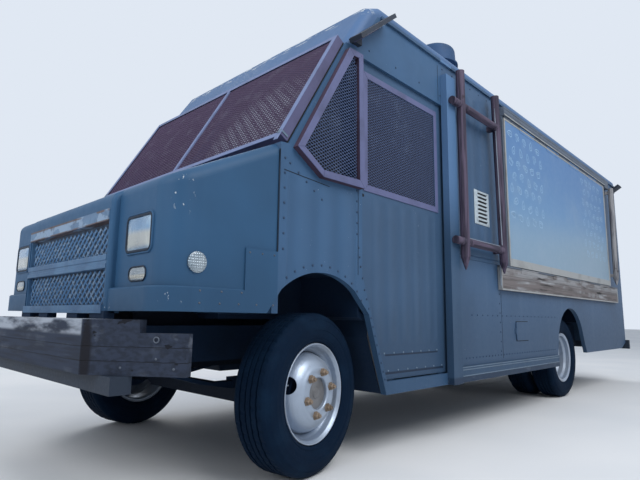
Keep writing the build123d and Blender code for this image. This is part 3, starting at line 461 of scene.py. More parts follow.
FINISHES = {finish.name: finish for finish in [
    painted_body("nose_paint", (47, 84, 118), wear=(NOSE_WEAR, (0.6, 0.6, 0.35), 110.0, 0.63)),
    painted_body("cab_paint", (61, 93, 127), flutes=(2.34, 2.86, 0.95, 1.50, 0.17),
                 reveal=(2.297, 2.303, 1.0795, 1.585, 2.445)),
    painted_body("cab_front_paint", (56, 88, 122)),
    painted_body("load_paint", (64, 91, 122), 0.14, flutes=(0.30, 1.15, 1.45, 2.60, 0.16)),
    painted_body("roof_paint", (76, 106, 146), wear=(CAP_WEAR, (0.8, 0.12, 0.8), 74.0, 0.575)),
    mesh_paint("screen_maroon", (82, 66, 94), (184, 190, 206), glint=GLINT),
    mesh_paint("screen_dark", (80, 98, 134), (104, 122, 156)),
    mesh_paint("grille_lattice", (92, 132, 172), (146, 168, 190), (30.0, 0.5, 0.6)),
    timber("counter_wood", (116, 110, 110), (170, 174, 178), "x", 0.7, (1.15, 1.24, 0.55, 2.0), [1.196]),
    timber("bumper_wood", (46, 54, 70), (164, 172, 184), "y", 0.18, (0.722, 0.742, 0.9, 0.735),
           [0.630, 0.688], [BUMPER_POST]),
    lens_finish("head_lens", (1.125, 1.165), ((106, 148, 186), (152, 182, 206)), 0.0),
    lens_finish("small_lens", (0.975, 0.985), ((120, 136, 148), (152, 164, 172)), 1.0),
    rail_finish(), door_finish(), floor_finish(), grille_finish(), picture_finish(), post_finish(),
    vent_finish(), wheel_finish(), tyre_finish(), glass_finish(),
] + [plain_metal(name, *how) for name, how in PLAIN.items()]}
NODE_FINISH = {
    "nose_paint": "nose",
    "cab_paint": "cab_left cab_right",
    "cab_front_paint": "cab_front",
    "load_paint": "cargo_left cargo_right rear_frame rear_door_left rear_door_right fuel_flap",
    "roof_paint": "roof",
    "rail_paint": "side_rails",
    "door_paint": "cab_door_left cab_door_right",
    "window_glass": "fixed_glass cab_door_left_glass cab_door_right_glass",
    "chassis_black": "frame_rails leaf_springs wheel_houses",
    "cast_metal": "axles engine knuckle_left knuckle_right",
    "floor_metal": "floor",
    "grille_strips": "grille",
    "hatch_frame_grey": "hatch_frame",
    "hatch_print": "hatch_panel",
    "counter_wood": "counter_board",
    "post_stain": "guard_bars",
    "bumper_wood": "front_bumper",
    "bumper_steel": "bumper_steel",
    "fan_metal": "roof_fan",
    "light_black": "floodlights",
    "wheel_silver": "rim_front_left rim_front_right rims_rear_left rims_rear_right",
    "tyre_rubber": "tyre_front_left tyre_front_right tyres_rear_left tyres_rear_right",
    "frame_mauve": "screens",
    "head_lens": "lamps",
    "vent_white": "vent",
}
for finish_name, node_names in NODE_FINISH.items():
    for node_name in node_names.split():
        slots = NODES[node_name].data.materials
        for index in range(len(slots)):
            slots[index] = FINISHES[finish_name].material
        if not slots:
            slots.append(FINISHES[finish_name].material)


# Shapes: each is (points, faces)

def piece(name, shape, finish, body="truck", replaces=(), smooth=False, bevel=0.0):
    """A mesh object with its place in its mesh, riding on a body, with a live bevel where one is asked."""
    points, faces = shape
    mesh = bpy.data.meshes.new(name)
    mesh.from_pydata(np.asarray(points, float).tolist(), [], [list(map(int, face)) for face in faces])
    mesh.validate()
    made = bpy.data.objects.new(name, mesh)
    bpy.context.scene.collection.objects.link(made)
    mesh.materials.append(FINISHES[finish].material)
    if smooth:
        mesh.shade_smooth()
    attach(made, body)
    if replaces:
        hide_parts(*replaces)
    if bevel:
        edge = made.modifiers.new("edge", "BEVEL")
        edge.width, edge.segments, edge.limit_method = bevel, 1, "ANGLE"
    return made


def joined(shapes):
    """Several shapes as one."""
    points, faces, count = [], [], 0
    for some, quads in shapes:
        points.append(np.asarray(some, float))
        faces += [[i + count for i in face] for face in quads]
        count += len(some)
    return np.concatenate(points), faces


def on_side(shape, side):
    """A shape of the left side as it is for 1, or its mirror image across the truck for -1."""
    if side > 0:
        return shape
    points, faces = shape
    return np.asarray(points, float) * [1, -1, 1], [list(face)[::-1] for face in faces]


def both_sides(*shapes):
    """Shapes of the left side with their mirror images."""
    left = joined(shapes)
    return joined([left, on_side(left, -1)])


def net(rows, columns, closed_rows=False, closed_columns=False):
    """The quads of a grid of points, row after row, closed round where asked."""
    r = np.arange(rows if closed_rows else rows - 1)
    c = np.arange(columns if closed_columns else columns - 1)
    i, j = np.meshgrid(r, c, indexing="ij")
    below, across = (i + 1) % rows, (j + 1) % columns
    corners = [(i, j), (below, j), (below, across), (i, across)]
    return np.stack([row * columns + column for row, column in corners], -1).reshape(-1, 4)


def around(centre, r, a, t):
    """Points at radius r, angle a and distance t out: centre + (r cos a, t, r sin a)."""
    return np.stack(np.broadcast_arrays(r * np.cos(a), t, r * np.sin(a)), -1) + centre


def spun(r, t, count, centre, closed=False):
    """A section, columns r and t, turned about the Y axis through a centre in count equal steps. Its ends lie
    on the axis, or meet where it is closed."""
    grid = around(centre, r, np.arange(count) * TURN / count, t)
    return grid.reshape(-1, 3), net(len(r), count, closed, True)[:, ::-1].tolist()


def lathe(profile, count, centre, closed=False):
    """Profile points (radius r, distance t), spun."""
    r, t = np.asarray(profile, float).T[..., None]
    return spun(r, t, count, centre, closed)


def carried(profile, start, end, side, up):
    """A closed profile of (s, u) carried straight from start to end: point + s side + u up."""
    profile = np.asarray(profile, float)
    side, up, start, end = (np.asarray(v, float) for v in (side, up, start, end))
    ends = [p + profile[:, :1] * side + profile[:, 1:] * up for p in (start, end)]
    n = len(profile)
    faces = [[i, (i + 1) % n, n + (i + 1) % n, n + i] for i in range(n)]
    faces += [list(range(n))[::-1], list(range(n, 2 * n))]
    s, u = profile.T
    if (np.dot(np.cross(side, up), end - start) > 0) != (np.sum(s * np.roll(u, -1) - np.roll(s, -1) * u) > 0):
        faces = [face[::-1] for face in faces]
    return np.concatenate(ends), faces


def prism(outline, low, high):
    """A flat outline of (x, z) carried from y = low to y = high."""
    return carried(outline, Y * low, Y * high, X, Z)


def rectangle(s0, s1, u0, u1):
    """The four corners of a rectangle."""
    return [(s0, u0), (s1, u0), (s1, u1), (s0, u1)]


def slab(x0, x1, z0, z1, low, high):
    """A block between two x, two z and two y."""
    return prism(rectangle(x0, x1, z0, z1), low, high)


def tube(path, radius, count=8):
    """A round tube along a path: path point + radius (cos a n + sin a b), with n and b across it."""
    path = np.asarray(path, float)
    way = np.gradient(path, axis=0)
    way /= np.linalg.norm(way, axis=1, keepdims=True)
    n = np.cross(way, np.where(np.abs(way[:, 2:3]) > 0.9, [X], [Z]))
    n /= np.linalg.norm(n, axis=1, keepdims=True)
    b = np.cross(way, n)
    a = np.arange(count) * TURN / count
    grid = path[:, None] + radius * (np.cos(a)[:, None] * n[:, None] + np.sin(a)[:, None] * b[:, None])
    faces = net(len(path), count, False, True)[:, ::-1].tolist()
    last = (len(path) - 1) * count
    return grid.reshape(-1, 3), faces + [list(range(count)), [last + i for i in range(count)][::-1]]


def copies(shape, places, side, up, out):
    """One small shape of (s, u, o) set at many places: place + s side + u up + o out."""
    points, faces = shape
    places = np.asarray(places, float)
    grid = places[:, None] + np.asarray(points, float) @ np.stack([side, up, out]).astype(float)
    shift = range(0, len(places) * len(points), len(points))
    return grid.reshape(-1, 3), [[i + s for i in face] for s in shift for face in faces]


def dome(radius, height, count=8):
    """A rivet head: three rings whose radius falls as their height grows, closed at the top by one point."""
    a = np.arange(count) * TURN / count
    rings = [(radius, 0.0), (radius * 0.9, height * 0.55), (radius * 0.5, height * 0.93)]
    points = [[r * math.cos(t), r * math.sin(t), h] for r, h in rings for t in a] + [[0, 0, height]]
    top = 2 * count
    faces = net(3, count, False, True)[:, ::-1].tolist()
    return np.array(points), faces + [[top + i, top + (i + 1) % count, 3 * count] for i in range(count)]


def expanded(outline, origin, side, up, pitch, rise, strand, thick, tilt):
    """Expanded metal in a convex outline of (s, u): row j is a zigzag u = rise (j +- 1/2), turning at
    every half pitch, whose peaks meet the next row's feet. Its strand is a tilted flat section."""
    outline = np.asarray(outline, float)
    out = np.cross(side, up)
    wide = (up * math.cos(tilt) + out * math.sin(tilt)) * strand / 2
    deep = (out * math.cos(tilt) - up * math.sin(tilt)) * thick / 2
    s0, u0 = outline.min(0)
    after = np.roll(outline, -1, axis=0)
    shapes = []
    for j in range(int((outline[:, 1].max() - u0) / rise)):
        mid = u0 + (j + 0.5) * rise
        cuts = (outline[:, 1] - mid) * (after[:, 1] - mid) < 0
        if cuts.sum() < 2:
            continue
        a, b = outline[cuts], after[cuts]
        where = a[:, 0] + (mid - a[:, 1]) / (b[:, 1] - a[:, 1]) * (b[:, 0] - a[:, 0])
        turns = (where - s0) / (pitch / 2)
        i = np.arange(math.ceil(turns.min()), math.floor(turns.max()) + 1)
        if len(i) < 2:
            continue
        s = s0 + i * pitch / 2
        u = mid + rise / 2 * np.where((i + j) % 2 == 0, 1.0, -1.0)
        line = np.asarray(origin, float) + s[:, None] * side + u[:, None] * up
        grid = np.stack([line - wide - deep, line + wide - deep, line + wide + deep, line - wide + deep], 1)
        end = (len(i) - 1) * 4
        caps = [[0, 1, 2, 3], [end + 3, end + 2, end + 1, end]]
        shapes.append((grid.reshape(-1, 3), net(len(i), 4, False, True)[:, ::-1].tolist() + caps))
    return joined(shapes)


def along(a, b, step):
    """Evenly spaced points from a to b."""
    a, b = np.asarray(a, float), np.asarray(b, float)
    count = max(2, int(round(np.linalg.norm(b - a) / step)) + 1)
    return a + np.linspace(0, 1, count)[:, None] * (b - a)


def rows(lines, y):
    """Points on a wall at y along lines of (x0, z0, x1, z1, step)."""
    return np.concatenate([along((x0, y, z0), (x1, y, z1), step) for x0, z0, x1, z1, step in lines])


def mitred(outer, inner, low, high, gap=0.0006):
    """Flat bars between two outlines of (x, z), one to a side, met at mitres with a fine gap."""
    bars = []
    for i in range(len(outer)):
        k = (i + 1) % len(outer)
        quad = np.array([outer[i], outer[k], inner[k], inner[i]])
        run = (quad[1] - quad[0]) / np.linalg.norm(quad[1] - quad[0])
        bars.append(prism(quad - run * gap * np.sign((quad - quad.mean(0)) @ run)[:, None], low, high))
    return joined(bars)


def about_middle(outline, share):
    """An outline grown or shrunk by a share about its middle."""
    return outline.mean(0) + (outline - outline.mean(0)) * share


# Wheels. Sections are (radius, distance out from the wheel's middle)
HALF_TREAD = [(0.419, 0.0), (0.419, 0.011), (0.4085, 0.0125), (0.4085, 0.0185), (0.419, 0.02), (0.419, 0.047),
              (0.4085, 0.0485), (0.4085, 0.0555), (0.419, 0.057), (0.4187, 0.076), (0.415, 0.086),
              (0.4065, 0.0975), (0.398, 0.1025), (0.385, 0.112), (0.3845, 0.1105), (0.377, 0.1135),
              (0.362, 0.1165), (0.345, 0.12), (0.33, 0.1193), (0.329, 0.1175), (0.31, 0.1165), (0.29, 0.1115),
              (0.2835, 0.1085), (0.281, 0.1105), (0.273, 0.1065), (0.266, 0.101), (0.2633, 0.0925),
              (0.2625, 0.086), (0.2465, 0.081), (0.2435, 0.08)]
TREAD = [(r, -t) for r, t in HALF_TREAD[:0:-1]] + HALF_TREAD
NUT = [(0.0, 0.0335), (0.0095, 0.033), (0.0105, 0.031), (0.0105, 0.0225), (0.015, 0.022), (0.018, 0.019),
       (0.0185, 0.004), (0.0235, 0.0035), (0.0235, -0.0005)]
DISH = [(0.0795, 0.096), (0.08, 0.116), (0.0825, 0.1215), (0.088, 0.123), (0.127, 0.123), (0.135, 0.122),
        (0.142, 0.118), (0.149, 0.1135), (0.159, 0.1085), (0.171, 0.1), (0.183, 0.088), (0.193, 0.0725),
        (0.202, 0.053), (0.2085, 0.034), (0.212, 0.016), (0.2125, 0.004)]
RIM = [(0.2588, 0.0975), (0.2602, 0.093), (0.2595, 0.087), (0.2545, 0.0845), (0.243, 0.082), (0.24, 0.054),
       (0.222, 0.034), (0.222, -0.034), (0.24, -0.054), (0.243, -0.082), (0.26, -0.086), (0.26, -0.098),
       (0.232, -0.09), (0.23, -0.056), (0.212, -0.036), (0.214, 0.028), (0.219, 0.037), (0.231, 0.047),
       (0.2375, 0.058), (0.2395, 0.079), (0.2425, 0.085), (0.247, 0.0885), (0.2495, 0.0935), (0.2525, 0.0975),
       (0.256, 0.099)]
HUB = [(0.0, 0.108), (0.018, 0.1075), (0.027, 0.105), (0.0305, 0.1), (0.0315, 0.093), (0.036, 0.09),
       (0.056, 0.09), (0.058, 0.096), (0.07, 0.0965), (0.072, 0.09), (0.08, 0.089), (0.08, 0.108),
       (0.142, 0.108), (0.142, 0.102), (0.0, 0.102)]
DRUM = [(0.0, 0.1018), (0.095, 0.1018), (0.096, 0.04), (0.14, 0.039), (0.145, 0.03), (0.145, -0.02),
        (0.0, -0.02)]
VALVE = np.array([(0.212, 0.030), (0.206, 0.040), (0.199, 0.052), (0.193, 0.062)])
HAND_HOLES = [math.radians(16), math.radians(196)]
HOLE_AT, HOLE_RADIUS = 0.1975, 0.045


def steered(points, side):
    """Points of a front wheel turned about its kingpin: x' = x cos - y sin, y' = x sin + y cos."""
    at = np.array([FRONT_HUB[0], side * KINGPIN_Y, 0.0])
    x, y, z = (np.asarray(points, float) - at).T
    c, s = math.cos(STEER), math.sin(STEER)
    return np.stack([x * c - y * s, x * s + y * c, z], -1) + at


def tyre(centre):
    """The tread's section spun round, with its ribs cut back by a depth for one step in every four."""
    steps, depth = 192, 0.003
    r, t = np.array(TREAD).T[..., None]
    cut = (r > 0.4186) & (np.abs(t) > 0.015) & ((np.arange(steps) + (t > 0) * 2) % 4 == 0)
    return spun(r - depth * cut, t, steps, centre, True)


def nuts(centre, first):
    """Six nuts on the stud circle at first + 60 i degrees: each a six-sided lathe section over a stud."""
    places = around(centre, STUD_RADIUS, np.radians(first + 60 * np.arange(6)), 0.0)
    return joined([lathe(NUT, 6, at) for at in places])


def dish(centre):
    """The wheel's disc as an open sheet: with s the length along its section, centre + (r(s) cos a, t(s),
    r(s) sin a). Round a hand hole a block of the grid is drawn in to a circle: (1 - u) border + u circle."""
    r, t = np.asarray(DISH).T
    length = np.concatenate([[0.0], np.cumsum(np.hypot(np.diff(r), np.diff(t)))])
    count_s, count_a = 40, 120
    s_of, step = np.linspace(0, length[-1], count_s), TURN / count_a

    def place(s, a):
        return around(centre, np.interp(s, length, r), a, np.interp(s, length, t)).reshape(-1, 3)

    points = [place(s_of[:, None], np.arange(count_a) * step)]
    faces = net(count_s, count_a, False, True)
    row_of, column_of = np.divmod(faces[:, 0], count_a)
    keep = np.ones(len(faces), bool)
    extra = []
    hole_s = float(np.interp(HOLE_AT, r, length))
    reach = HOLE_RADIUS * 1.22
    i0 = int(np.searchsorted(s_of, hole_s - reach)) - 1
    i1 = min(count_s - 1, int(np.searchsorted(s_of, hole_s + reach)))
    for angle in HAND_HOLES:
        j0, j1 = (int(round((angle + way * reach / HOLE_AT) / step)) for way in (-1, 1))
        keep &= ~((row_of >= i0) & (row_of < i1) & (np.mod(column_of - j0, count_a) < j1 - j0))
        loop = [(i0, j) for j in range(j0, j1)] + [(i, j1) for i in range(i0, i1)]
        loop += [(i1, j) for j in range(j1, j0, -1)] + [(i, j0) for i in range(i1, i0, -1)]
        i, j = np.array(loop).T
        border = np.stack([s_of[i] - hole_s, (j * step - angle) * HOLE_AT], -1)
        circle = border / np.linalg.norm(border, axis=1, keepdims=True) * HOLE_RADIUS
        one = i * count_a + np.mod(j, count_a)
        for u in (0.35, 0.7, 0.93, 1.0):
            two = sum(len(p) for p in points) + np.arange(len(loop))
            local = (1 - u) * border + u * circle
            points.append(place(hole_s + local[:, 0], angle + local[:, 1] / HOLE_AT))
            extra.append(np.stack([one, two, np.roll(two, -1), np.roll(one, -1)], -1))
            one = two
    faces = np.concatenate([faces[keep]] + extra)
    return np.concatenate(points), faces[:, ::-1].tolist()


def wheels():
    """Tyres on all wheels, and the front wheels' rims, discs, hubs, drums, nuts and valves."""
    hub_bolts = around(FRONT_HUB, 0.064, np.arange(8) * TURN / 8 + 0.2, 0.0962)
    valve = around(FRONT_HUB, VALVE[:, 0], HAND_HOLES[0], VALVE[:, 1])
    front = [
        ("tread_front_", tyre(FRONT_HUB), "tyre_rubber", "tyre_front_", False),
        ("wheel_rim_", lathe(RIM, 96, FRONT_HUB, True), "wheel_silver", "rim_front_", True),
        ("wheel_disc_", dish(FRONT_HUB), "wheel_silver", None, True),
        ("wheel_hub_", lathe(HUB, 64, FRONT_HUB), "hub_worn", None, False),
        ("brake_drum_", lathe(DRUM, 64, FRONT_HUB), "chassis_black", None, False),
        ("hub_bolts_", copies(dome(0.0052, 0.006, 6), hub_bolts, *SIDE_AXES), "nut_rust", None, False),
        ("nuts_front_", nuts(FRONT_HUB + Y * 0.1232, 46), "nut_rust", None, False),
        ("tyre_valve_", tube(valve, 0.004), "strip_white", None, False),
    ]
    rear_tyres = joined([tyre(hub) for hub in REAR_HUBS])
    rear_nuts = nuts(REAR_HUBS[0] - Y * 0.128, 0)
    for name, side in SIDES.items():
        for label, shape, finish, node, smooth in front:
            points, faces = on_side(shape, side)
            slot = "tyre_rubber" if finish == "tyre_rubber" else "wheel_steel"
            made = piece(label + name, (steered(points, side), faces), finish, "wheel_front_" + name,
                         [node + name] if node else (), smooth)
            if label == "wheel_disc_":
                made.modifiers.new("thickness", "SOLIDIFY").thickness = 0.006
        body = "wheels_rear_" + name
        piece("tread_rear_" + name, on_side(rear_tyres, side), "tyre_rubber", body,
              ["tyres_rear_" + name])
        piece("nuts_rear_" + name, on_side(rear_nuts, side), "nut_rust", body)


# Screens
WS_FOOT = np.array([2.887, 0.0, 1.675])
WS_LEAN, WS_RISE = 0.460, 0.789        # backwards and upwards, from foot to top
WS_SPAN = math.hypot(WS_LEAN, WS_RISE)
WS_UP = np.array([-WS_LEAN, 0.0, WS_RISE]) / WS_SPAN
WS_OUT = np.array([WS_UP[2], 0.0, -WS_UP[0]])
WS_TOP = 0.995 * WS_SPAN
# Pitch, rise, strand width, thickness and tilt of each expanded metal
WINDSHIELD_MESH = (0.036, 0.0092, 0.004, 0.0016, 0.75)
QUARTER_MESH = (0.036, 0.01, 0.004, 0.0018, 0.7)
DOOR_MESH = (0.037, 0.009, 0.0036, 0.0014, 0.7)
GRILLE_MESH = (0.0562, 0.0232, 0.0095, 0.0028, 0.65)


def on_windshield(up, out, y):
    """A point up the windshield plane and out in front of it, in metres, at y."""
    return WS_FOOT + WS_UP * up + WS_OUT * out + Y * y


def windshield_bars(sided, across=()):
    """Flat bars parallel to the windshield, each between two heights, two depths and two y: the sided ones
    with their mirror images, and those that run across."""
    def bar(up0, up1, out0, out1, y0, y1):
        start, end = on_windshield(0, 0, y0), on_windshield(0, 0, y1)
        return carried(rectangle(out0, out1, up0, up1), start, end, WS_OUT, WS_UP)

    return joined([both_sides(*[bar(*sizes) for sizes in sided])] + [bar(*sizes) for sizes in across])


def windshield_screens():
    """Angle frames with a middle bar, clips at their feet and expanded metal."""
    face = windshield_bars([(0.006, WS_TOP, 0.0627, 0.067, 1.034, 1.066)],
                           [(WS_TOP - 0.034, WS_TOP, 0.0628, 0.067, -1.0335, 1.0335),
                            (0.030, 0.062, 0.0628, 0.067, -1.0335, 1.0335),
                            (0.0625, WS_TOP - 0.0345, 0.052, 0.067, -0.014, 0.014)])
    webs = windshield_bars([(0.045, WS_TOP, 0.0, 0.0625, 1.061, 1.066),
                            (0.045, WS_TOP, 0.001, 0.006, 1.034, 1.061)],
                           [(WS_TOP - 0.005, WS_TOP, 0.0, 0.0625, -1.0605, 1.0605),
                            (0.045, 0.050, 0.0, 0.0625, -1.0605, 1.0605)])
    # Painted shadow: a thin black strip for the shaded gap beside each side of the frame
    seal = windshield_bars([(0.035, WS_TOP - 0.004, -0.002, 0.009, 1.066, 1.0675)])
    clips = windshield_bars([(0.052, 0.080, 0.060, 0.0695, 1.038, 1.062),
                             (0.060, 0.072, 0.020, 0.064, 1.0645, 1.0705)])
    # The frame's faces in a painted-light copy of its paint, its webs in a painted-shade copy
    piece("windshield_frame", face, "frame_face_painted_light", replaces=["screens"], bevel=0.0012)
    piece("windshield_frame_webs", webs, "frame_side_painted_shade", bevel=0.001)
    piece("windshield_frame_gap_shadow", seal, "black_seams_and_shade")
    piece("windshield_clips", clips, "bolt_grey", bevel=0.001)
    for name, y0, y1 in (("left", 0.012, 1.036), ("right", -1.036, -0.012)):
        outline = rectangle(y0, y1, 0.058, WS_TOP - 0.03)
        mesh = expanded(outline, on_windshield(0, 0.056, 0), Y, WS_UP, *WINDSHIELD_MESH)
        piece("windshield_mesh_" + name, mesh, "screen_maroon")


def side_screens():
    """Quarter window guards that stand out on webs painted dark as their shade, and a mitred frame with finer
    mesh on each door.
    """
    outer = np.array([(2.842, 1.689), (2.644, 1.566), (2.290, 1.571), (2.307, 2.416), (2.432, 2.412)])
    hole = np.array([(2.791, 1.700), (2.645, 1.605), (2.335, 1.614), (2.347, 2.378), (2.394, 2.375)])
    # The webs are the guards' side faces and inner lip, painted dark as their shade
    webs = [mitred(outer, about_middle(outer, 0.985), WALL_Y, 1.1156),
            mitred(about_middle(hole, 1.022), hole, WALL_Y, 1.1156)]
    quarter_mesh = expanded(about_middle(hole, 1.012) * [-1, 1], Y * 1.100, -X, Z, *QUARTER_MESH)
    piece("quarter_guards", both_sides(mitred(outer, hole, 1.1158, 1.120)), "frame_mauve",
          bevel=0.001)
    piece("quarter_guard_webs", both_sides(*webs), "web_painted_shade")
    piece("quarter_mesh", both_sides(quarter_mesh), "screen_dark")
    guard = mitred(rectangle(1.3645, 2.2345, 1.5825, 2.3605), rectangle(1.4045, 2.1945, 1.6235, 2.3195),
                   1.0575, 1.0640)
    door_mesh = expanded(rectangle(-2.198, -1.401, 1.620, 2.323), Y * 1.0565, -X, Z, *DOOR_MESH)
    for name, side in SIDES.items():
        body = "cab_door_" + name
        piece("door_guard_" + name, on_side(guard, side), "frame_mauve", body, bevel=0.001)
        piece("door_mesh_" + name, on_side(door_mesh, side), "screen_dark", body)


# Nose
def grille():
    """Expanded lattices in front of the dark plate, and the channel between them."""
    lattices = [expanded(rectangle(-0.562, 0.562, z0, z1), X * 3.5235, Y, Z, *GRILLE_MESH)
                for z0, z1 in ((0.862, 1.029), (1.099, 1.257))]
    piece("grille_lattice", joined(lattices), "grille_lattice")
    channel = [(0, -0.033), (0.004, -0.033), (0.006, -0.029), (0.006, -0.013), (0.002, -0.01), (0.002, 0.004),
               (0.006, 0.007), (0.006, 0.029), (0.004, 0.033), (0, 0.033)]
    strip = carried(channel, (3.5475, -0.570, 1.064), (3.5475, 0.570, 1.064), X, Z)
    piece("grille_channel", strip, "grille_strips")


OUTLINE_STEPS = 64


def rounded(half_wide, half_high, corner):
    """A rounded rectangle's outline at even angles round its corners, as (s, u) about its middle."""
    a = (np.arange(OUTLINE_STEPS) + 0.5) * TURN / OUTLINE_STEPS
    c, s = np.cos(a), np.sin(a)
    wide, high = half_wide - corner, half_high - corner
    return np.stack([np.sign(c) * wide + corner * c, np.sign(s) * high + corner * s], -1)


def layered(outlines, depths):
    """Outlines from the outermost inwards, each at its depth, joined in rings."""
    n = len(outlines[0])
    rings = [np.column_stack([outline, np.full(n, depth)]) for outline, depth in zip(outlines, depths)]
    return np.concatenate(rings), net(len(rings), n, False, True)[:, ::-1].tolist()


def lens(half_wide, half_high, corner, base, bulge):
    """A lens over a rounded outline o(t): q o(t), standing out by base + bulge (1 - q^4)."""
    q = np.array([1.0, 1.0, 0.96, 0.85, 0.65, 0.4, 0.15])
    depths = np.concatenate([[0.0], base + bulge * (1 - q[1:] ** 4)])
    points, faces = layered(q[:, None, None] * rounded(half_wide, half_high, corner), depths)
    return points, faces + [list(range(len(points) - OUTLINE_STEPS, len(points)))]


def surround(inner, outer, proud):
    """A raised rim between two rounded outlines, its section a low hump."""
    small, large = np.array(inner), np.array(outer)
    outlines = [rounded(*(small + (large - small) * share)) for share in (1.0, 1.0, 0.75, 0.25, 0.0, 0.0)]
    return layered(outlines, np.array([0.0, 0.5, 1.0, 1.0, 0.8, 0.0]) * proud)


def lamps():
    """Headlamps and oblong lamps with bezels, the headlamps' painted rims and the round side markers."""
    def front(shape, place):
        return copies(shape, [place], *FRONT_AXES)

    head_at, oblong_at, proud = (3.515, 0.817, 1.1735), (3.515, 0.822, 0.993), X * 0.0002
    head = front(lens(0.1085, 0.073, 0.017, 0.004, 0.007), head_at)
    oblong = front(lens(0.076, 0.0285, 0.028, 0.002, 0.005), oblong_at)
    marker = copies(lens(0.0455, 0.0455, 0.045, 0.006, 0.005), [(3.377, 1.073, 1.040)], *SIDE_AXES)
    head_bezel = surround((0.1088, 0.0732, 0.018), (0.1190, 0.0855, 0.030), 0.0085)
    oblong_bezel = surround((0.0763, 0.0288, 0.0283), (0.0815, 0.0345, 0.0340), 0.0055)
    bezels = both_sides(front(head_bezel, head_at + proud), front(oblong_bezel, oblong_at + proud))
    rim = front(surround((0.1193, 0.0858, 0.030), (0.1270, 0.0935, 0.036), 0.008), head_at)
    piece("headlamp_lenses", both_sides(head), "head_lens", replaces=["lamps"])
    piece("small_lenses", both_sides(oblong, marker), "small_lens")
    piece("lamp_bezels", bezels, "bezel_blue", smooth=True)
    piece("headlamp_rims", both_sides(rim), "nose_paint", smooth=True)


# Serving side
def vent():
    """A plate whose louvres rise and fall back once in every pitch, with a bevelled edge 6 mm wide."""
    x0, x1, z0, z1 = 0.568, 0.832, 1.584, 1.870
    count_x, count_z = 34, 120
    x, z = np.meshgrid(np.linspace(x0, x1, count_x), np.linspace(z0, z1, count_z), indexing="ij")
    phase = np.mod(z - LOUVRE_LOW, LOUVRE_PITCH) / LOUVRE_PITCH
    louvred = (np.abs(x - 0.70) < 0.082) & (z > 1.606) & (z < 1.848)
    rise = np.where(louvred & (phase >= 0.3), np.clip((1.0 - phase) / 0.66, 0, 1), 0.0) * 0.0095
    edge = np.minimum(np.minimum(x - x0, x1 - x), np.minimum(z - z0, z1 - z))
    plate = np.stack([x, 1.0835 + 0.003 * np.clip(edge / 0.006, 0, 1) + rise, z], -1).reshape(-1, 3)
    piece("louvred_vent", (plate, net(count_x, count_z)), "vent_white", replaces=["vent"])


def hatch():
    """Frame strips round the picture with the board strip below it, and the gutter above."""
    strips = [slab(*sizes, HATCH_Y - 0.004, HATCH_Y + 0.003) for sizes in (
        (-2.951, 0.254, 1.283, 1.352), (-2.951, -2.909, 1.352, 2.651), (0.236, 0.254, 1.352, 2.651),
        (-2.909, 0.236, 2.632, 2.651))]
    strips.append(slab(0.2535, 0.2555, 1.284, 2.650, 1.0845, HATCH_Y + 0.002))
    piece("hatch_edging", joined(strips), "pale_alloy", "hatch", bevel=0.001)
    gutter = [(0.0, 0.0), (0.0505, 0.0), (0.0505, 0.012), (0.046, 0.014), (0.046, 0.026), (0.0515, 0.028),
              (0.0515, 0.046), (0.044, 0.05), (0.044, 0.06), (0.052, 0.063), (0.052, 0.0802), (0.0, 0.0802)]
    lips = carried(gutter, (0.2842, 1.0815, 2.6662), (-2.9812, 1.0815, 2.6662), Y, Z)
    piece("gutter_lips", lips, "hatch_frame_grey")
    bead = carried(rectangle(0.0, 0.0035, 0.0, 0.010), (0.284, 1.131, 2.667), (-2.981, 1.131, 2.667), Y, Z)
    piece("gutter_bead", bead, "pale_alloy")


def stroke(x0, z0, x1, z1):
    """The outline of a stroke 2 mm wide between two points."""
    run = np.array([x1 - x0, z1 - z0])
    side = np.array([-run[1], run[0]]) / np.linalg.norm(run) * 0.001
    return np.array([(x0, z0) + side, (x1, z1) + side, (x1, z1) - side, (x0, z0) - side])


def spot(x, z, radius):
    """The outline of a small circle."""
    return np.stack([x + radius * np.cos(ROUND[::2]), z + radius * np.sin(ROUND[::2])], -1)


# Plain kitchen motifs for the print: a leaf, a mushroom, a pot and a drop, each an outline and what is in it
ROUND = np.linspace(0, TURN, 25)[:-1]
MOTIFS = [
    [np.stack([0.052 * np.cos(ROUND), 0.024 * np.sin(ROUND) * (1.1 - 0.5 * np.cos(ROUND))], -1),
     stroke(-0.040, 0.0, 0.030, 0.0), stroke(-0.006, 0.0, 0.010, 0.014), stroke(-0.006, 0.0, 0.010, -0.014)],
    [np.array([(-0.045, 0.0), (-0.042, 0.018), (-0.028, 0.034), (0.0, 0.041), (0.028, 0.034), (0.042, 0.018),
               (0.045, 0.0), (0.014, 0.002), (0.012, -0.036), (-0.012, -0.036), (-0.014, 0.002)])[::-1],
     spot(-0.018, 0.018, 0.006), spot(0.016, 0.022, 0.005)],
    [np.array([(-0.050, 0.022), (-0.010, 0.022), (0.0, 0.034), (0.010, 0.022), (0.050, 0.022), (0.040, 0.012),
               (0.036, -0.026), (0.026, -0.034), (-0.026, -0.034), (-0.036, -0.026), (-0.040, 0.012)])[::-1],
     stroke(-0.034, 0.008, 0.034, 0.008)],
    [np.stack([0.030 * np.sin(ROUND) * np.sin(ROUND / 2) * 1.3, 0.044 * np.cos(ROUND)], -1)[::-1],
     spot(0.0, -0.012, 0.008)],
]


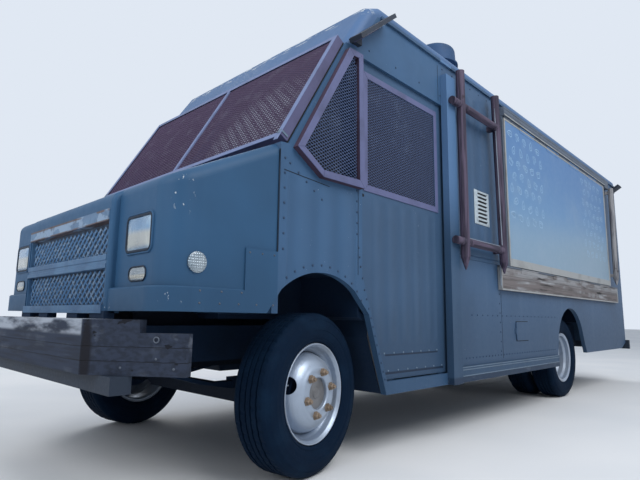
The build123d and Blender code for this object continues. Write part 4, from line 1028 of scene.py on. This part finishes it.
def outline_strip(loop, lean, x, z, width):
    """A closed flat strip on the hatch's face: each point of the leaning loop moved in and out by half the
    width along the normal of its two neighbours' chord."""
    c, s = math.cos(lean), math.sin(lean)
    loop = loop @ np.array([[c, -s], [s, c]])
    chord = np.roll(loop, -1, axis=0) - np.roll(loop, 1, axis=0)
    normal = np.stack([chord[:, 1], -chord[:, 0]], -1) / (np.linalg.norm(chord, axis=1, keepdims=True) + 1e-9)
    one, two = (np.column_stack([x + flat[:, 0], np.full(len(loop), HATCH_Y + 0.0005), z + flat[:, 1]])
                for flat in (loop + normal * width / 2, loop - normal * width / 2))
    faces = net(2, len(loop), False, True)
    towards = np.cross(one[faces[0][1] % len(loop)] - one[0], two[0] - one[0])[1]
    return np.concatenate([one, two]), (faces if towards > 0 else faces[:, ::-1]).tolist()


def hatch_motifs():
    """Motifs in two groups of staggered columns, drawn and leant by a seeded draw."""
    chance = np.random.default_rng(5)
    strips = []
    for first, count in ((0.14, 7), (-1.98, 8)):
        for column in range(5):
            for row in range(count):
                x = first - column * 0.168 - (row % 2) * 0.075
                z = 2.525 - row * 0.128 + chance.uniform(-0.012, 0.012)
                kind, lean = int(chance.integers(4)), chance.uniform(-0.5, 0.5)
                strips += [outline_strip(loop, lean, x, z, 0.0056 if i == 0 else 0.0036)
                           for i, loop in enumerate(MOTIFS[kind])]
    piece("hatch_motifs", joined(strips), "motif_white", "hatch")


def side_trims():
    """The counter's pale trims, the light strips on the guard, a dark frame painted as shadow round the
    flap, and the rub rails' ribs.
    """
    face, back = COUNTER_Y + 0.003, 1.0835
    trims = [slab(-3.250, 0.447, 1.0655, 1.079, COUNTER_Y - 0.003, face),
             slab(0.4385, 0.449, 1.066, 1.262, back, face), slab(-3.252, -3.232, 1.066, 1.262, back, face)]
    piece("counter_trims", joined(trims), "pale_alloy", "counter", bevel=0.001)
    paths = [((1.116, 1.166, 2.70), (1.116, 1.166, 1.31)), ((1.10, 1.160, 1.4195), (0.55, 1.160, 1.4195)),
             ((0.568, 1.168, 2.62), (0.5625, 1.168, 2.45)), ((0.5625, 1.168, 2.42), (0.5285, 1.168, 1.43)),
             ((0.487, 1.1255, 1.30), (0.480, 1.1255, 1.10))]
    strips = joined([tube(along(a, b, 0.12), 0.0042, 6) for a, b in paths])
    piece("light_strips", strips, "strip_white", smooth=True)
    # Painted shadow: a thin dark frame round the fuel flap's edge
    shadow_outline = mitred(rectangle(-0.148, 0.1155, 0.6315, 0.8055), rectangle(-0.138, 0.110, 0.637, 0.800),
                    1.0808, 1.0832)
    piece("flap_shadow_frame", shadow_outline, "black_seams_and_shade")
    rib = [(0.0, -0.004), (0.0028, -0.0025), (0.0028, 0.0025), (0.0, 0.004)]
    ribs = [carried(rib, (1.168, 1.1028, z), (-0.868, 1.1028, z), Y, Z) for z in (0.469, 0.452, 0.408)]
    piece("rub_rail_ribs", both_sides(*ribs), "bolt_grey")


# Rivets and seams
WALL_RIVETS = [(1.33, 2.5, 2.2, 2.5, 0.29), (1.29, 2.73, -3.58, 2.73, 0.15), (1.15, 0.53, -0.82, 0.53, 0.055),
               (0.93, 0.85, -0.87, 0.85, 0.09), (0.43, 0.56, 0.43, 1.03, 0.078),
               (-3.61, 0.6, -3.61, 2.7, 0.12), (2.895, 1.15, 2.895, 1.62, 0.085),
               (2.86, 1.6, 2.62, 1.45, 0.07)]
DOOR_EDGE = [(2.322, 1.56), (2.318, 1.3), (2.304, 1.22), (2.285, 1.11), (2.249, 0.977), (2.187, 0.816),
             (2.13, 0.659), (2.071, 0.501), (2.038, 0.41)]
BAND_SCREWS = [(3.36, 0.868, 2.95, 0.868, 0.1), (3.1, 1.11, 2.95, 1.11, 0.075),
               (3.36, 0.92, 3.14, 0.92, 0.11)]
DOOR_RIVETS = [(1.42, 0.604, 2.03, 0.604, 0.1), (1.36, 0.498, 1.99, 0.498, 0.1)]


def rivets_and_seams():
    """Rivets on the walls, along the doors' front edge and over the front arches, screws in the nose band,
    the doors' rivets, a black disc painted as the shade of each door's latch hole, and dark seams between
    nose and cab and where panels meet."""
    places = [rows(WALL_RIVETS, WALL_Y)]
    for (xa, za), (xb, zb) in zip(DOOR_EDGE[:-1], DOOR_EDGE[1:]):
        places.append(rows([(xa, za, xb, zb, 0.062)], WALL_Y)[:-1])
    t = np.radians(np.linspace(20, 160, 15))
    arch = np.column_stack([FRONT_HUB[0] + 0.39 * np.cos(t), np.full(15, WALL_Y), 0.74 + 0.35 * np.sin(t)])
    places.append(arch[(arch[:, 2] > 0.9) & (arch[:, 0] < 2.9)])
    rivets = both_sides(copies(dome(0.0072, 0.004), np.concatenate(places), *SIDE_AXES))
    piece("side_rivets", rivets, "rivet_blue", smooth=True)
    screws = both_sides(copies(dome(0.0052, 0.003), rows(BAND_SCREWS, WALL_Y), *SIDE_AXES))
    piece("band_rivets", screws, "screw_grey", smooth=True)
    seal = tube([(2.928, 1.0775, z) for z in np.linspace(0.97, 1.66, 8)], 0.0034)
    piece("nose_seal", both_sides(seal), "bezel_blue", smooth=True)
    seams = [slab(2.3075, 2.3105, 1.06, 1.575, 1.0805, 1.0822),
             prism([(2.9, 1.556), (2.56, 1.533), (2.56, 1.5365), (2.9, 1.5595)], 1.0805, 1.0824),
             slab(0.3975, 0.4005, 0.50, 1.05, 1.0805, 1.0820),
             slab(1.3585, 1.3615, 2.45, 2.735, 1.0805, 1.0822)]
    piece("panel_seams", both_sides(*seams), "black_seams_and_shade")
    profile = [(0.0, 0.0016), (0.009, 0.0016), (0.0105, 0.0008), (0.0105, -0.0005)]
    # Painted shade: a black disc standing for the latch hole
    latch_hole_shade = lathe(profile, 20, (2.2352, 1.058, 1.552))
    door_rivets = copies(dome(0.0065, 0.0028), rows(DOOR_RIVETS, DOOR_Y), *SIDE_AXES)
    for name, side in SIDES.items():
        body = "cab_door_" + name
        piece("door_latch_hole_shade_" + name, on_side(latch_hole_shade, side), "black_seams_and_shade", body)
        piece("door_rivets_" + name, on_side(door_rivets, side), "bolt_grey", body, smooth=True)


def bumper_parts():
    """Hook eye and screws on the swept end, screws in the face, and stays between top board and nose."""
    out = np.array([0.377, 0.270, 0.0]) / math.hypot(0.377, 0.270)
    across = np.array([-out[1], out[0], 0.0])
    a = np.arange(8) * TURN / 8
    section = np.stack([0.011 + 0.0028 * np.cos(a), 0.0028 * np.sin(a)], -1)
    eye_at = np.array([3.5112, 1.0233, 0.7155]) + out * 0.006
    eye = copies(lathe(section, 24, (0, 0, 0), True), [eye_at], -across, out, Z)
    piece("bumper_eye", eye, "screw_grey", smooth=True)
    screw = dome(0.0055, 0.0021)
    on_end = [(3.5990, 0.9005, 0.602), (3.4660, 1.0865, 0.602), (3.5112, 1.0233, 0.640)]
    on_face = [(BUMPER_X, y, z)
               for y, z in ((0.215, 0.7), (0.245, 0.7), (0.62, 0.612), (-0.55, 0.7), (-0.2, 0.612))]
    screws = joined([copies(screw, on_end, across, Z, out), copies(screw, on_face, *FRONT_AXES)])
    piece("bumper_screws", screws, "screw_grey", smooth=True)
    stays = [slab(3.505, 3.555, 0.7945, 0.8315, y0, y1)
             for y0, y1 in ((0.145, 0.285), (0.44, 0.60), (-0.285, -0.145), (-0.60, -0.44))]
    piece("bumper_stays", joined(stays), "chassis_black", bevel=0.001)


def floodlight():
    """At the cab's upper corner: cooling fins under the lamp, a pale edge and a screw."""
    low, high = np.array([2.413, 1.146, 2.468]), np.array([2.061, 1.146, 2.766])
    way = (high - low) / np.linalg.norm(high - low)
    under = np.array([way[2], 0.0, -way[0]])
    under = under if under[2] < 0 else -under
    fin = [(-0.0025, 0.0), (0.0025, 0.0), (0.0015, 0.006), (-0.0015, 0.006)]
    feet = [low + way * t + under * 0.0135 for t in np.linspace(0.03, 0.22, 12)]
    fins = joined([carried(fin, at - Y * 0.040, at + Y * 0.040, way, under) for at in feet])
    piece("floodlight_fins", fins, "frame_side_painted_shade")
    start = low + Y * 0.0465
    edge = carried(rectangle(0.0, 0.0014, -0.0145, 0.0145), start, start + way * 0.30, Y, under)
    piece("floodlight_edge", edge, "light_face")
    screw_at = low + way * 0.235 + under * 0.014
    screw = copies(dome(0.009, 0.004, 12), [screw_at], way, np.cross(under, way), under)
    piece("floodlight_screw", screw, "light_face", smooth=True)


wheels()
windshield_screens()
side_screens()
grille()
lamps()
vent()
hatch()
hatch_motifs()
side_trims()
rivets_and_seams()
bumper_parts()
floodlight()


# Floor, light and camera

def stage_floor():
    """A pale floor: one large square."""
    floor = Finish("studio_floor", Roughness=0.85)
    floor.colour(floor.blend((226, 228, 230), (232, 233, 234), floor.patches(0.6, 2.0, 0.4, 0.6)))
    mesh = bpy.data.meshes.new("studio_floor")
    mesh.from_pydata([(-60, -60, 0), (60, -60, 0), (60, 60, 0), (-60, 60, 0)], [], [(0, 1, 2, 3)])
    made = bpy.data.objects.new("studio_floor", mesh)
    bpy.context.scene.collection.objects.link(made)
    mesh.materials.append(floor.material)


def studio_world():
    """Even grey light on the object, and a paler sky for the camera, in gloss and through glass."""
    world = bpy.data.worlds.new("studio")
    bpy.context.scene.world = world
    world.use_nodes = True
    nodes, links = world.node_tree.nodes, world.node_tree.links
    nodes.clear()
    light, sky, path, mix, end = (nodes.new("ShaderNode" + kind) for kind in (
        "Background", "Background", "LightPath", "MixShader", "OutputWorld"))
    light.inputs[0].default_value, light.inputs[1].default_value = ink(226, 236, 250), 0.55
    sky.inputs[0].default_value, sky.inputs[1].default_value = ink(224, 232, 243), 1.0
    seen = path.outputs["Is Camera Ray"]
    for name in ("Is Glossy Ray", "Is Transmission Ray"):
        larger = nodes.new("ShaderNodeMath")
        larger.operation = "MAXIMUM"
        links.new(seen, larger.inputs[0])
        links.new(path.outputs[name], larger.inputs[1])
        seen = larger.outputs[0]
    for index, output in enumerate((seen, light.outputs[0], sky.outputs[0])):
        links.new(output, mix.inputs[index])
    links.new(mix.outputs[0], end.inputs[0])


def placed(made, side, up, back, at):
    """Links an object at a place, with its X, Y and Z axes along three directions."""
    bpy.context.scene.collection.objects.link(made)
    made.matrix_world = Matrix([[side[i], up[i], back[i], at[i]] for i in range(3)] + [[0, 0, 0, 1]])


def soft_box(name, at, aim, size, power):
    """A large square lamp at a place, turned towards its aim."""
    lamp = bpy.data.lights.new(name, "AREA")
    lamp.size = size
    lamp.energy = power
    back = np.subtract(at, aim)
    back /= np.linalg.norm(back)
    side = np.cross(Z, back)
    side /= np.linalg.norm(side)
    placed(bpy.data.objects.new(name, lamp), side, np.cross(back, side), back, at)


def photo_camera():
    """The camera where the photograph was taken, with the photograph's lens."""
    yaw, pitch, roll = (math.radians(angle) for angle in (223.84, 8.894, 0.78))
    ahead = np.array([math.cos(yaw) * math.cos(pitch), math.sin(yaw) * math.cos(pitch), math.sin(pitch)])
    level = np.array([math.sin(yaw), -math.cos(yaw), 0.0])
    lift = np.cross(level, ahead)
    focal, width = 496.76, 640             # in the photograph's pixels
    camera = bpy.data.cameras.new("camera")
    camera.sensor_fit = "HORIZONTAL"
    camera.sensor_width = 36.0
    camera.lens = camera.sensor_width * focal / width
    side = math.cos(roll) * level + math.sin(roll) * lift
    up = math.cos(roll) * lift - math.sin(roll) * level
    eye = bpy.data.objects.new("camera", camera)
    placed(eye, side, up, -ahead, (4.533, 2.908, 0.813))
    bpy.context.scene.camera = eye


stage_floor()
studio_world()
soft_box("key_light", (2.0, 7.0, 8.0), (0.5, 0, 1.2), 6.0, 560)
soft_box("front_light", (9.0, 1.0, 5.5), (2.5, 0, 1.2), 5.0, 240)
soft_box("far_light", (-4.0, -8.0, 7.0), (0, 0, 1.2), 6.0, 420)
photo_camera()
bpy.context.scene.view_settings.view_transform = "Standard"
